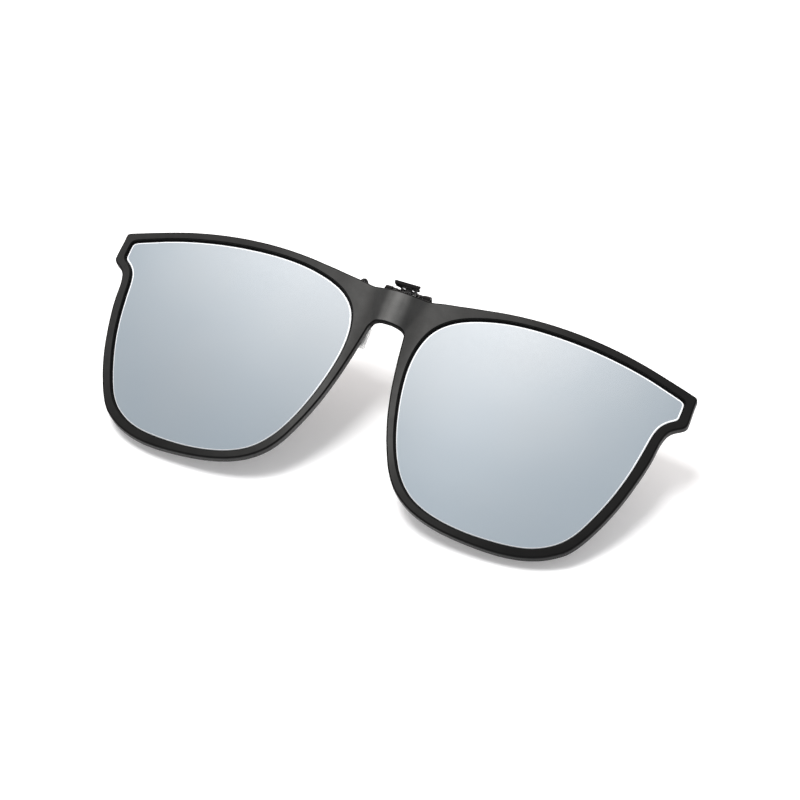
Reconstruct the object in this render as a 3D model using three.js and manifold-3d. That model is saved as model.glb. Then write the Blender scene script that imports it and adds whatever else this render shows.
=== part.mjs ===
// Flip-up clip-on sunglasses: a one-piece moulded front with an arched bridge,
// two mirror-coated lenses held in a groove, and a small sprung clip hinged
// behind the bridge. Millimetres, +X to the right seen from the front, the
// lenses face -Y, +Z up. The origin is the middle of the space between the
// clip's jaws, where the bridge of the wearer's own glasses is gripped.
import * as THREE from 'three';
import { mergeVertices } from 'three/addons/utils/BufferGeometryUtils.js';
import Module from 'manifold-3d';

const wasm = await Module();
wasm.setup();

// ---------------------------------------------------------------- dimensions
const ORIGIN = [0, 6.2, 6.4];     // grip centre, in the drawing's coordinates
const R_FACE = 387.6;             // radius of the sphere the front face lies on
const T_RIM = 2.3;                // depth of the moulded front
const BRIDGE_RISE = 2.8;          // how far the bridge bulges forward
const BRIDGE_BACK = 3.6;          // how far its back surface follows
const BRIDGE_TOP = 6.9;           // half width of the bulge at the top edge
const BRIDGE_LOW = 4.2;           // half width of the bulge at the underside
const SEAM = 8;                   // rows between the underside and the top edge
const GROOVE = [0.65, 1.7];       // lens groove, measured back from the face
const GROOVE_DEEP = 0.85;
const LENS = [0.78, 1.72];        // front and back of the lens body
const TONGUE = [0.95, 1.4];       // the thinner edge that sits in the groove
const LENS_GAP = 0.3;
const TONGUE_OUT = 0.5;
const PIN = [4.8, 12.4];          // hinge axis (y, z), along X
const R_PIN = 0.42;
const R_BORE = 0.6;
const R_KNUCKLE = 1.3;
const KNUCKLE = [4.0, 5.9];       // where each knuckle lies along X
const R_WIRE = 0.4;
const R_SLEEVE = 1.0;
const R_SLEEVE_IN = 0.52;
const HOOK_LEAN = 0.5;            // the rear wires sit slightly out of level

// Right half of the front outline, from beside the bridge over the top,
// round the squared end piece and its notch, down the temple side, along the
// bottom and up the nose side. (x, z)
const OUTLINE = [
  [6.9, 9.72], [8.5, 10.0], [10, 10.35], [12, 10.76], [13.94, 11.16], [17.5, 12.03],
  [21.09, 12.76], [24.7, 13.36], [28.74, 13.86], [32.39, 14.17], [36.04, 14.35],
  [39.7, 14.39], [43.77, 14.3], [47.43, 14.07], [51.48, 13.68], [55.51, 13.14],
  [59.52, 12.45], [63.5, 11.6], [67.46, 10.66], [71.46, 9.7], [72.95, 9.33],
  [74.1, 9], [74.55, 8.72], [74.67, 8.2], [74.64, 7.2], [74.68, 4.85],
  [74.74, 2.75], [74.72, 1.7], [74.52, 0.95], [73.98, 0.3], [72.9, -0.45],
  [71.75, -1.38], [71.05, -2.32], [70.62, -3.43], [70.3, -5.4], [69.88, -9.5],
  [69.34, -12.7], [68.15, -17.9], [66.82, -22.62], [65.46, -26.48], [63.88, -30.2],
  [61.94, -34.02], [60.3, -36.58], [58.88, -38.22], [57.2, -39.4], [55.53, -40.51],
  [53.73, -41.45], [51.44, -42.34], [49.08, -43.0], [46.68, -43.45], [43.86, -43.76],
  [40.2, -43.88], [36.12, -43.78], [32.47, -43.52], [29.25, -43.1], [26.47, -42.53],
  [23.74, -41.72], [21.47, -40.79], [19.5, -39.7], [17.95, -38.6], [16.48, -37.3],
  [15.3, -36.0], [14.35, -34.7], [13.35, -33.09], [12.43, -31.28], [11.26, -28.67],
  [10.18, -26.03], [8.61, -21.42], [7.18, -15.91], [6.59, -13.12], [6.0, -9.91],
  [5.34, -5.9], [4.7, -1.48], [4.53, -0.35], [4.2, 0.42],
];
// Top edge and underside of the bridge, from the middle outwards.
const TOP_EDGE = [[0, 9.1], [1.8, 9.1], [3.5, 9.16], [5.2, 9.38], [6.9, 9.72]];
const UNDERSIDE = [[0, 0.7], [1.5, 0.74], [2.6, 0.82], [3.4, 0.86], [3.9, 0.7], [4.2, 0.42]];
// Right lens opening, clockwise from the top.
const OPENING = [
  [37.42, 12.05], [42.69, 11.97], [47.97, 11.66], [53.21, 11.09], [58.42, 10.28],
  [62.78, 9.39], [66.34, 8.56], [69.75, 7.72], [70.95, 7.32], [71.62, 6.95],
  [72.03, 6.4], [72.15, 5.7], [72.15, 3.4], [72.1, 2.5], [71.85, 1.85], [71.26, 1.26],
  [70.4, 0.55], [69.76, -0.15], [69.2, -0.95], [68.8, -1.75], [68.42, -2.8],
  [68.09, -4.26], [67.53, -8.3], [66.83, -12.72], [66.19, -15.89], [65.51, -18.64],
  [64.59, -21.75], [63.37, -25.2], [61.84, -28.97], [60.47, -31.91], [59.47, -33.66],
  [58.28, -35.3], [57.1, -36.6], [55.63, -37.8], [54.2, -38.75], [52.5, -39.65],
  [50.62, -40.38], [48.27, -40.99], [44.63, -41.53], [40.16, -41.84], [36.13, -41.87],
  [32.1, -41.59], [28.87, -41.1], [25.68, -40.32], [23.02, -39.33], [20.7, -38.1],
  [18.67, -36.5], [17.0, -34.72], [15.34, -32.39], [13.95, -29.9], [12.63, -26.94],
  [11.26, -23.13], [10.14, -19.24], [9.23, -15.28], [8.61, -11.67], [8.27, -8.44],
  [8.22, -5.61], [8.45, -2.78], [8.95, -0.35], [9.75, 1.88], [10.79, 3.61],
  [12.12, 5.15], [14.0, 6.73], [16.08, 7.99], [18.67, 9.13], [22.15, 10.24],
  [25.71, 11.06], [29.32, 11.6], [32.96, 11.91],
];

// ----------------------------------------------------------------- materials
const black = new THREE.MeshStandardMaterial({ color: 0x2e2e2d, roughness: 0.62, metalness: 0 });
const mirror = new THREE.MeshStandardMaterial({ color: 0xb9c5ce, roughness: 0.08, metalness: 0.9 });
const metal = new THREE.MeshStandardMaterial({ color: 0x0e0e0f, roughness: 0.25, metalness: 0.8 });
const steel = new THREE.MeshStandardMaterial({ color: 0x484849, roughness: 0.35, metalness: 1 });
const silicone = new THREE.MeshStandardMaterial({ color: 0xc9c9c6, roughness: 0.45, metalness: 0 });
const nylon = new THREE.MeshStandardMaterial({ color: 0x1c1c1c, roughness: 0.55, metalness: 0 });

// ------------------------------------------------------------------- helpers
const base = (x, z) => (x * x + z * z) / (2 * R_FACE);

// Points spread along a smooth curve through control points.
function smooth(points, count, closed) {
  const curve = new THREE.CatmullRomCurve3(
    points.map(([x, z]) => new THREE.Vector3(x, 0, z)), closed, 'centripetal');
  curve.arcLengthDivisions = 2000;
  const out = curve.getSpacedPoints(count).map((p) => [p.x, p.z]);
  if (closed) out.pop();
  return out;
}

// A closed outline moved outwards (positive) or inwards by a distance.
function offset(loop, distance) {
  const n = loop.length;
  let area = 0;
  for (let i = 0; i < n; i++) {
    const [a, b] = [loop[i], loop[(i + 1) % n]];
    area += a[0] * b[1] - b[0] * a[1];
  }
  const sign = area > 0 ? 1 : -1;
  return loop.map((p, i) => {
    const a = loop[(i + n - 1) % n];
    const b = loop[(i + 1) % n];
    const t = new THREE.Vector2(b[0] - a[0], b[1] - a[1]).normalize();
    return [p[0] + sign * t.y * distance, p[1] - sign * t.x * distance];
  });
}

class Builder {
  constructor() { this.verts = []; this.faces = []; }
  add(x, y, z) { this.verts.push([x, y, z]); return this.verts.length - 1; }
  tri(a, b, c) { this.faces.push([a, b, c]); }
  quad(a, b, c, d) { this.tri(a, b, c); this.tri(a, c, d); }
  strip(a, b, closed = true) {
    const n = a.length;
    for (let i = 0; i < (closed ? n : n - 1); i++) {
      const j = (i + 1) % n;
      this.quad(a[i], a[j], b[j], b[i]);
    }
  }
  geometry() {
    const g = new THREE.BufferGeometry();
    g.setAttribute('position', new THREE.Float32BufferAttribute(this.verts.flat(), 3));
    g.setIndex(this.faces.flat());
    return g;
  }
}

function volume(g) {
  const p = g.attributes.position;
  const ix = g.index.array;
  let v = 0;
  const [a, b, c] = [new THREE.Vector3(), new THREE.Vector3(), new THREE.Vector3()];
  for (let i = 0; i < ix.length; i += 3) {
    a.fromBufferAttribute(p, ix[i]);
    b.fromBufferAttribute(p, ix[i + 1]);
    c.fromBufferAttribute(p, ix[i + 2]);
    v += a.dot(b.cross(c)) / 6;
  }
  return v;
}

// Turns a geometry into a solid whose shared vertices are merged and whose
// faces point outwards.
function solid(geometry) {
  let g = geometry.clone();
  g.deleteAttribute('normal');
  g.deleteAttribute('uv');
  if (!g.index) g.setIndex([...Array(g.attributes.position.count).keys()]);
  g = mergeVertices(g, 1e-4);
  const ix = Array.from(g.index.array);
  const kept = [];
  for (let i = 0; i < ix.length; i += 3) {
    const [a, b, c] = [ix[i], ix[i + 1], ix[i + 2]];
    if (a !== b && b !== c && a !== c) kept.push(a, b, c);
  }
  g.setIndex(kept);
  if (volume(g) < 0) for (let i = 0; i < kept.length; i += 3) [kept[i], kept[i + 1]] = [kept[i + 1], kept[i]];
  return new wasm.Manifold(new wasm.Mesh({
    numProp: 3,
    vertProperties: new Float32Array(g.attributes.position.array),
    triVerts: new Uint32Array(kept),
  }));
}

function toGeometry(manifold) {
  const m = manifold.getMesh();
  const g = new THREE.BufferGeometry();
  const v = new Float32Array(m.numVert * 3);
  for (let i = 0; i < m.numVert; i++) {
    for (let k = 0; k < 3; k++) v[3 * i + k] = m.vertProperties[m.numProp * i + k];
  }
  g.setAttribute('position', new THREE.BufferAttribute(v, 3));
  g.setIndex(Array.from(m.triVerts));
  g.computeVertexNormals();
  return g;
}

const join = (...solids) => solids.reduce((a, b) => a.add(b));
const cut = (body, ...tools) => tools.reduce((a, b) => a.subtract(b), body);

function box(x0, x1, y0, y1, z0, z1) {
  const g = new THREE.BoxGeometry(x1 - x0, y1 - y0, z1 - z0);
  g.translate((x0 + x1) / 2, (y0 + y1) / 2, (z0 + z1) / 2);
  return g;
}

// A cylinder along X, at (y, z).
function rodX(r, x0, x1, [y, z], sides = 24) {
  const g = new THREE.CylinderGeometry(r, r, x1 - x0, sides);
  g.rotateZ(Math.PI / 2);
  g.translate((x0 + x1) / 2, y, z);
  return g;
}

// A turned profile (radius, height) about +Z.
function turned(profile, sides = 24) {
  const g = new THREE.LatheGeometry(profile.map(([r, h]) => new THREE.Vector2(r, h)), sides);
  g.rotateX(Math.PI / 2);
  return g;
}

// A (y, z) polygon drawn out along X.
function plateX(polygon, x0, x1) {
  const s = new THREE.Shape(polygon.map(([y, z]) => new THREE.Vector2(y, z)));
  const g = new THREE.ExtrudeGeometry(s, { depth: x1 - x0, bevelEnabled: false });
  // local (y, z, x) to world
  g.applyMatrix4(new THREE.Matrix4().set(0, 0, 1, x0, 1, 0, 0, 0, 0, 1, 0, 0, 0, 0, 0, 1));
  return g;
}

// A round bar, or a tube when it has an inner radius, along a curve.
function along(points, r, steps, sides, inner = 0) {
  const curve = points instanceof THREE.Curve ? points
    : new THREE.CatmullRomCurve3(points.map((p) => new THREE.Vector3(...p)), false, 'centripetal');
  const s = new THREE.Shape();
  const ring = (rad) => Array.from({ length: sides }, (_, i) => {
    const a = (2 * Math.PI * i) / sides;
    return new THREE.Vector2(rad * Math.cos(a), rad * Math.sin(a));
  });
  s.setFromPoints(ring(r));
  if (inner) s.holes.push(new THREE.Path().setFromPoints(ring(inner)));
  return new THREE.ExtrudeGeometry(s, { steps, bevelEnabled: false, extrudePath: curve });
}

const model = new THREE.Group();
const drawing = new THREE.Group();
drawing.position.set(-ORIGIN[0], -ORIGIN[1], -ORIGIN[2]);
model.add(drawing);

function piece(name, body, material) {
  const mesh = new THREE.Mesh(body.getMesh ? toGeometry(body) : body, material);
  mesh.name = name;
  drawing.add(mesh);
  return mesh;
}
const sides = [['right', 1], ['left', -1]];

// --------------------------------------------------------------- front frame
// Faces are laid out flat as (x, z) and then set on the sphere. The bridge is
// a grid that bulges forward between two slanted creases; the rims are filled
// between the outline and each opening.
const half = smooth(OUTLINE, 108, false);
const opening = smooth(OPENING, 76, true);
const topEdge = smooth(TOP_EDGE, 7, false);
const underside = smooth(UNDERSIDE, 7, false);
const COLS = topEdge.length - 1;

function frontFrame() {
  const b = new Builder();
  const front = [];
  const back = [];
  const put = ([x, z], bulge) => {
    front.push(b.add(x, base(x, z) - BRIDGE_RISE * bulge, z));
    back.push(b.add(x, base(x, z) + T_RIM - BRIDGE_BACK * bulge, z));
    return front.length - 1;
  };
  // bridge grid: columns from -COLS to COLS, rows from underside to top
  const grid = [];
  for (let c = -COLS; c <= COLS; c++) {
    const s = Math.sign(c) || 1;
    const lo = underside[Math.abs(c)];
    const hi = topEdge[Math.abs(c)];
    const u = Math.abs(hi[0]) / BRIDGE_TOP;
    const column = [];
    for (let r = 0; r <= SEAM; r++) {
      const t = r / SEAM;
      // a slight bow, so that no three points of a column are in line
      const bow = 0.06 * u * t * (1 - t);
      column.push(put([s * (lo[0] + (hi[0] - lo[0]) * t + bow), lo[1] + (hi[1] - lo[1]) * t], 1 - u * u));
    }
    grid.push(column);
  }
  const tri = (i, j, k) => { b.tri(front[i], front[j], front[k]); b.tri(back[k], back[j], back[i]); };
  for (let c = 0; c < 2 * COLS; c++) {
    for (let r = 0; r < SEAM; r++) {
      const [p, q, s, t] = [grid[c][r], grid[c + 1][r], grid[c + 1][r + 1], grid[c][r + 1]];
      tri(p, q, s);
      tri(p, s, t);
    }
  }
  const outer = { 1: [], [-1]: [] };
  for (const [, s] of sides) {
    const seam = s > 0 ? grid[2 * COLS] : grid[0];
    // outline: top of the seam, round the rim, to the bottom of the seam
    const rim = half.slice(1, -1).map(([x, z]) => put([s * x, z], 0));
    const ring = [seam[SEAM], ...rim, seam[0], ...seam.slice(1, -1)];
    const hole = opening.map(([x, z]) => put([s * x, z], 0));
    const flat = (i) => new THREE.Vector2(b.verts[front[i]][0], b.verts[front[i]][2]);
    const all = [...ring, ...hole];
    const triangles = THREE.ShapeUtils.triangulateShape(ring.map(flat), [hole.map(flat)]);
    for (const [i, j, k] of triangles) {
      const [p, q, r] = [flat(all[i]), flat(all[j]), flat(all[k])];
      const turn = (q.x - p.x) * (r.y - p.y) - (q.y - p.y) * (r.x - p.x);
      if (turn > 0) tri(all[i], all[j], all[k]);
      else tri(all[k], all[j], all[i]);
    }
    outer[s] = rim;
    // the opening's wall, with the lens groove
    const level = (out, y) => offset(hole.map((i) => [b.verts[front[i]][0], b.verts[front[i]][2]]), out)
      .map(([x, z]) => b.add(x, base(x, z) + y, z));
    const levels = [hole.map((i) => front[i]), level(0, GROOVE[0]), level(GROOVE_DEEP, GROOVE[0]),
      level(GROOVE_DEEP, GROOVE[1]), level(0, GROOVE[1]), hole.map((i) => back[i])];
    for (let i = 0; i + 1 < levels.length; i++) {
      if (s > 0) b.strip(levels[i + 1], levels[i]);
      else b.strip(levels[i], levels[i + 1]);
    }
  }
  // outer wall, once round: right rim, underside, left rim, top edge
  const bottom = grid.map((column) => column[0]).reverse();
  const top = grid.map((column) => column[SEAM]);
  const loop = [...outer[1], ...bottom, ...outer[-1].slice().reverse(), ...top];
  b.strip(loop.map((i) => front[i]), loop.map((i) => back[i]));
  return b.geometry();
}

const boss = solid(box(-3.2, 3.2, -1.5, 0.2, 3.0, 8.4));
const SCREW_X = 1.9;
const SCREW_Z = 5.5;
const screwHole = (s, r, y0, y1) => {
  const g = new THREE.CylinderGeometry(r, r, y1 - y0, 20);
  g.translate(s * SCREW_X, (y0 + y1) / 2, SCREW_Z);
  return solid(g);
};
const frame = cut(join(solid(frontFrame()), boss),
  screwHole(1, 0.6, -1.2, 0.6), screwHole(-1, 0.6, -1.2, 0.6));
piece('front_frame', frame, black);

// -------------------------------------------------------------------- lenses
// Body just inside the opening, with a thinner tongue that sits in the groove.
function lens(s) {
  const b = new Builder();
  const loop = opening.map(([x, z]) => [s * x, z]);
  const centre = [s * 39, -14];
  const ring = (out, y, k = 1) => offset(loop, out).map(([x, z]) => {
    const px = centre[0] + (x - centre[0]) * k;
    const pz = centre[1] + (z - centre[1]) * k;
    return b.add(px, base(px, pz) + y, pz);
  });
  const rings = [];
  rings.push(ring(-LENS_GAP, LENS[0], 0.5));
  rings.push(ring(-LENS_GAP, LENS[0]), ring(-LENS_GAP, TONGUE[0]), ring(TONGUE_OUT, TONGUE[0]),
    ring(TONGUE_OUT, TONGUE[1]), ring(-LENS_GAP, TONGUE[1]), ring(-LENS_GAP, LENS[1]));
  rings.push(ring(-LENS_GAP, LENS[1], 0.5));
  for (let i = 0; i + 1 < rings.length; i++) b.strip(rings[i], rings[i + 1]);
  const cap = (r, y, flip) => {
    const c = b.add(centre[0], base(...centre) + y, centre[1]);
    for (let i = 0; i < r.length; i++) {
      const j = (i + 1) % r.length;
      if (flip) b.tri(c, r[i], r[j]); else b.tri(c, r[j], r[i]);
    }
  };
  cap(rings[0], LENS[0], false);
  cap(rings[rings.length - 1], LENS[1], true);
  return solid(b.geometry());
}
for (const [side, s] of sides) piece(`lens_${side}`, lens(s), mirror);

// ----------------------------------------------- hinge bracket and its screws
// A folded plate screwed to the back of the bridge, with two arms that reach
// back over the top edge to the knuckles of the flip-up hinge.
const armProfile = [[0.35, 9.84], [0.95, 9.84], [5.0, 11.3], [4.9, 12.3], [4.15, 12.3], [0.35, 10.26]];
const bracketBits = [
  solid(box(-3.2, 3.2, 0.35, 0.95, 3.3, 10.26)),
  solid(box(-5.9, 5.9, 0.35, 0.95, 9.84, 10.26)),
];
for (const [, s] of sides) {
  const [a, c] = s > 0 ? KNUCKLE : [-KNUCKLE[1], -KNUCKLE[0]];
  bracketBits.push(solid(plateX(armProfile, a, c)), solid(rodX(R_KNUCKLE, a, c, PIN, 28)));
}
piece('hinge_bracket', cut(join(...bracketBits), solid(rodX(R_BORE, -8, 8, PIN)),
  screwHole(1, 0.6, 0, 1.5), screwHole(-1, 0.6, 0, 1.5)), metal);

for (const [side, s] of sides) {
  const g = turned([[0, -2.0], [0.45, -2.0], [0.45, 0.1], [0.95, 0.1], [0.95, 0.36], [0.7, 0.58], [0, 0.58]], 20);
  g.rotateX(-Math.PI / 2);
  g.translate(s * SCREW_X, 0.97, SCREW_Z);
  piece(`bracket_screw_${side}`, solid(g), metal);
}

// --------------------------------------------------- hinge pin and its washers
const pin = turned([[0, -6.42], [0.7, -6.42], [0.78, -6.3], [0.78, -6.05], [R_PIN, -6.05],
  [R_PIN, 6.05], [0.78, 6.05], [0.78, 6.3], [0.7, 6.42], [0, 6.42]], 20);
pin.rotateY(Math.PI / 2);
pin.translate(0, ...PIN);
piece('hinge_pin', solid(pin), metal);
for (const [side, s] of sides) {
  const w = turned([[R_BORE, -0.15], [1.15, -0.15], [1.15, 0.15], [R_BORE, 0.15], [R_BORE, -0.15]], 24);
  w.rotateY(Math.PI / 2);
  w.translate(s * 3.7, ...PIN);
  piece(`friction_washer_${side}`, solid(w), nylon);
}

// ------------------------------------------------- front jaw, its pad and claws
// A plate that hangs from the pin behind the bridge, on two cheeks.
const roundCheek = (r, extra, x0, x1) => join(solid(rodX(r, x0, x1, PIN, 28)), solid(plateX(extra, x0, x1)));
const jawCheek = [[2.3, 9.0], [2.9, 9.0], [5.6, 11.5], [4.8, 13.4], [3.7, 12.9], [2.3, 11.2]];
const jawBits = [solid(box(-3.4, 3.4, 2.3, 2.9, 2.6, 11.2))];
for (const [, s] of sides) {
  const [a, c] = s > 0 ? [2.9, 3.4] : [-3.4, -2.9];
  jawBits.push(roundCheek(1.15, jawCheek, a, c));
}
piece('front_jaw', cut(join(...jawBits), solid(rodX(R_BORE, -8, 8, PIN))), metal);
piece('bridge_pad', solid(box(-2.6, 2.6, 3.0, 3.6, 4.5, 8.1)), silicone);

const SLEEVE_X = 5.6;
for (const [side, s] of sides) {
  const wire = [[s * 0.7, 3.42, 3.7], [s * 3.0, 3.42, 3.6], [s * 4.8, 3.68, 2.75],
    [s * 5.54, 4.0, 1.3], [s * SLEEVE_X, 4.1, 0], [s * SLEEVE_X, 4.1, -2], [s * SLEEVE_X, 4.1, -3.9]];
  piece(`front_claw_wire_${side}`, solid(along(wire, R_WIRE, 18, 8)), metal);
  const sleeve = turned([[0, -4.45], [0.6, -4.4], [0.92, -4.1], [R_SLEEVE, -3.7], [R_SLEEVE, 0.9],
    [0.9, 1.0], [0.62, 1.0], [0.62, -4.02], [0, -4.02]], 20);
  sleeve.translate(s * SLEEVE_X, 4.1, 0);
  piece(`front_claw_sleeve_${side}`, solid(sleeve), silicone);
}

// ------------------------------------------------- rear jaw, thumb tab and claws
// The thumb tab is a flared plate over the pin that reaches forward above the
// bridge and ends in a turned-up lip.
function tabPlate() {
  const plan = new THREE.Shape();
  plan.moveTo(-2.7, 6.2);
  plan.lineTo(-2.7, 5.35);
  plan.lineTo(-2.05, 5.1);
  plan.lineTo(-2.1, 3.2);
  plan.lineTo(-3.05, 2.75);
  plan.lineTo(-3.05, 0.95);
  plan.lineTo(3.05, 0.95);
  plan.lineTo(3.05, 2.75);
  plan.lineTo(2.1, 3.2);
  plan.lineTo(2.05, 5.1);
  plan.lineTo(2.7, 5.35);
  plan.lineTo(2.7, 6.2);
  plan.closePath();
  for (const s of [-1, 1]) {
    const hole = new THREE.Path();
    hole.absellipse(s * 1.15, 3.7, 0.42, 0.85, 0, 2 * Math.PI, true);
    plan.holes.push(hole);
  }
  const top = new THREE.ExtrudeGeometry(plan, { depth: 0.48, bevelEnabled: false, curveSegments: 8 });
  const p = top.attributes.position;
  for (let i = 0; i < p.count; i++) p.setZ(i, p.getZ(i) + 13.36 + 0.1 * (p.getY(i) - PIN[0]));
  return top;
}
// An (x, z) polygon given its depth along Y.
function plateY(points, y0, y1, curveSegments = 5) {
  const g = new THREE.ExtrudeGeometry(new THREE.Shape(points), { depth: y1 - y0, bevelEnabled: false, curveSegments });
  g.applyMatrix4(new THREE.Matrix4().set(1, 0, 0, 0, 0, 0, 1, y0, 0, 1, 0, 0, 0, 0, 0, 1));
  return g;
}
const lipShape = [[-2.9, 12.98], [2.9, 12.98], [3.15, 13.25], [3.3, 13.62], [3.32, 13.82], [3.15, 13.97],
  [-3.15, 13.97], [-3.32, 13.82], [-3.3, 13.62], [-3.15, 13.25]].map(([x, z]) => new THREE.Vector2(x, z));
const tabCheek = [[5.0, 11.35], [5.9, 12.0], [6.2, 13.0], [6.2, 13.75], [5.35, 13.7], [4.8, 13.3]];
const rearBits = [solid(tabPlate()), solid(plateY(lipShape, 0.95, 1.4))];
for (const [, s] of sides) {
  const [a, c] = s > 0 ? [2.2, 2.7] : [-2.7, -2.2];
  rearBits.push(roundCheek(1.05, tabCheek, a, c));
}
piece('rear_jaw', cut(join(...rearBits), solid(rodX(R_BORE, -8, 8, PIN))), metal);

for (const [side, s] of sides) {
  const lean = -s * HOOK_LEAN;
  const at = (x, y, z) => [s * x, y, z + (lean * x) / 13];
  const wire = [at(0.5, 6.6, 12.5), at(2.6, 6.62, 12.4), at(4.6, 6.82, 12.0), at(8, 6.85, 11.8),
    at(10.6, 6.9, 12.2), at(11.7, 6.95, 13.5), at(12.4, 7.2, 14.4), at(13.1, 7.8, 14.45),
    at(13.7, 8.6, 13.8), at(13.8, 9.2, 12.2), at(13.75, 9.4, 9), at(13.7, 9.4, 5.6)];
  const curve = new THREE.CatmullRomCurve3(wire.map((p) => new THREE.Vector3(...p)), false, 'centripetal');
  piece(`rear_claw_wire_${side}`, solid(along(curve, R_WIRE, 26, 8)), metal);
  // the sleeve covers the wire from the top bend to just past its end
  const cover = [];
  for (let i = 0; i <= 14; i++) cover.push(curve.getPointAt(0.68 + (0.32 * i) / 14));
  const tail = cover[14].clone().add(new THREE.Vector3(0, 0, -0.45));
  const path = new THREE.CatmullRomCurve3([...cover, tail], false, 'centripetal');
  piece(`rear_claw_sleeve_${side}`, solid(along(path, R_SLEEVE, 15, 10, R_SLEEVE_IN)), silicone);
}

// ------------------------------------------------------------ torsion spring
const R_COIL = 0.65;
const TURNS = 4.75;
const coilPoint = (t) => {
  const a = Math.PI - t * TURNS * 2 * Math.PI;
  return [-1.3 + 2.6 * t, PIN[0] + R_COIL * Math.cos(a), PIN[1] + R_COIL * Math.sin(a)];
};
const springPath = [[-1.3, 3.2, 8.6], [-1.3, 3.2, 9.8], [-1.3, 3.6, 11.1], [-1.3, 4.05, 11.9]];
for (let i = 0; i <= 76; i++) springPath.push(coilPoint(i / 76));
springPath.push([1.3, 4.2, 11.74], [1.3, 3.2, 11.9], [1.3, 2.3, 12.4], [1.3, 1.8, 12.72]);
piece('torsion_spring', solid(along(springPath, 0.16, 96, 6)), steel);

export default model;
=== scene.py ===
"""Looks for the flip-up clip-on sunglasses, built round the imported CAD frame."""

import math

import bmesh
import bpy
import numpy as np
from mathutils import Matrix, Vector
from mathutils.geometry import delaunay_2d_cdt

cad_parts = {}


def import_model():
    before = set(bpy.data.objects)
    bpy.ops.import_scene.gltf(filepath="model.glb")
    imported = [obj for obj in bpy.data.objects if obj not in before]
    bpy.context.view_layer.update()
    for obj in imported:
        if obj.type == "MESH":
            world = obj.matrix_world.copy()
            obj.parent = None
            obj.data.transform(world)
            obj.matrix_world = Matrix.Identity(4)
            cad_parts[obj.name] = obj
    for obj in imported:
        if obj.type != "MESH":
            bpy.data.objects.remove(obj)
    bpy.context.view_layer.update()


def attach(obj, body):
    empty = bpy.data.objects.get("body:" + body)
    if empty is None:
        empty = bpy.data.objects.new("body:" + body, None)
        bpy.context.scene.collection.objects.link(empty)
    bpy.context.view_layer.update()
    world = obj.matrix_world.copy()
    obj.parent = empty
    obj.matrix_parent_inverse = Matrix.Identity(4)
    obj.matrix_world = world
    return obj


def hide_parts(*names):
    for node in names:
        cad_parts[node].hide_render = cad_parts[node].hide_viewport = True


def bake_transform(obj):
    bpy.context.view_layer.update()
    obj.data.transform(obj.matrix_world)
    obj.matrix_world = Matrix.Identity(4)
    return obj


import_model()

# ------------------------------------------------------------------ dimensions
# Millimetres in the drawing's coordinates; put() turns them into the row frame.
ORIGIN = np.array([0.0, 6.2, 6.4])
R_FACE = 387.6
T_RIM = 2.3
BRIDGE_RISE = 2.8
BRIDGE_BACK = 3.6
BRIDGE_TOP = 6.9
BRIDGE_LOW = 4.2
EDGE = 0.36             # rounding of the rim's outer edges
EDGE_IN = 0.2           # rounding of the openings' edges
GROOVE = (0.65, 1.7)
GROOVE_DEEP = 0.85
PIN = (4.8, 12.4)
R_BORE = 0.6
SCREW_X, SCREW_Z = 1.9, 5.5
HOOK_LEAN = 0.5
SLEEVE_X = 5.6
FLOOR_SLOPE = 0.5

OUTLINE = [
    (6.9, 10.32), (8.5, 10.6), (10, 10.94), (12, 11.28), (13.94, 11.57), (17.5, 12.2),
    (21.09, 12.77), (24.7, 13.36), (28.74, 13.86), (32.39, 14.17), (36.04, 14.35),
    (39.7, 14.39), (43.77, 14.3), (47.43, 14.07), (51.48, 13.68), (55.51, 13.14),
    (59.52, 12.45), (63.5, 11.6), (67.46, 10.66), (71.46, 9.7), (72.95, 9.33),
    (74.1, 9), (74.55, 8.72), (74.67, 8.2), (74.64, 7.2), (74.68, 4.85),
    (74.74, 2.75), (74.72, 1.7), (74.52, 0.95), (73.98, 0.3), (72.9, -0.45),
    (71.75, -1.38), (71.05, -2.32), (70.62, -3.43), (70.17, -5.38), (69.74, -9.5),
    (69.19, -12.69), (68, -17.86), (66.67, -22.58), (65.32, -26.43), (63.75, -30.14),
    (61.82, -33.96), (60.2, -36.52), (58.8, -38.15), (57.2, -39.4), (55.53, -40.51),
    (53.73, -41.45), (51.44, -42.34), (49.08, -43.0), (46.68, -43.45), (43.86, -43.76),
    (40.2, -43.88), (36.12, -43.78), (32.47, -43.52), (29.25, -43.1), (26.47, -42.53),
    (23.74, -41.72), (21.47, -40.79), (19.5, -39.7), (17.95, -38.6), (16.48, -37.3),
    (15.3, -36.0), (14.35, -34.7), (13.35, -33.09), (12.43, -31.28), (11.26, -28.67),
    (10.18, -26.03), (8.61, -21.42), (7.18, -15.91), (6.59, -13.12), (6.0, -9.91),
    (5.34, -5.9), (4.7, -1.48), (4.53, -0.35), (4.2, 0.42),
]
TOP_EDGE = [(0, 9.62), (1.8, 9.65), (3.5, 9.76), (5.2, 10.0), (6.9, 10.32)]
UNDERSIDE = [(0, 0.7), (1.5, 0.74), (2.6, 0.82), (3.4, 0.86), (3.9, 0.7), (4.2, 0.42)]
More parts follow.
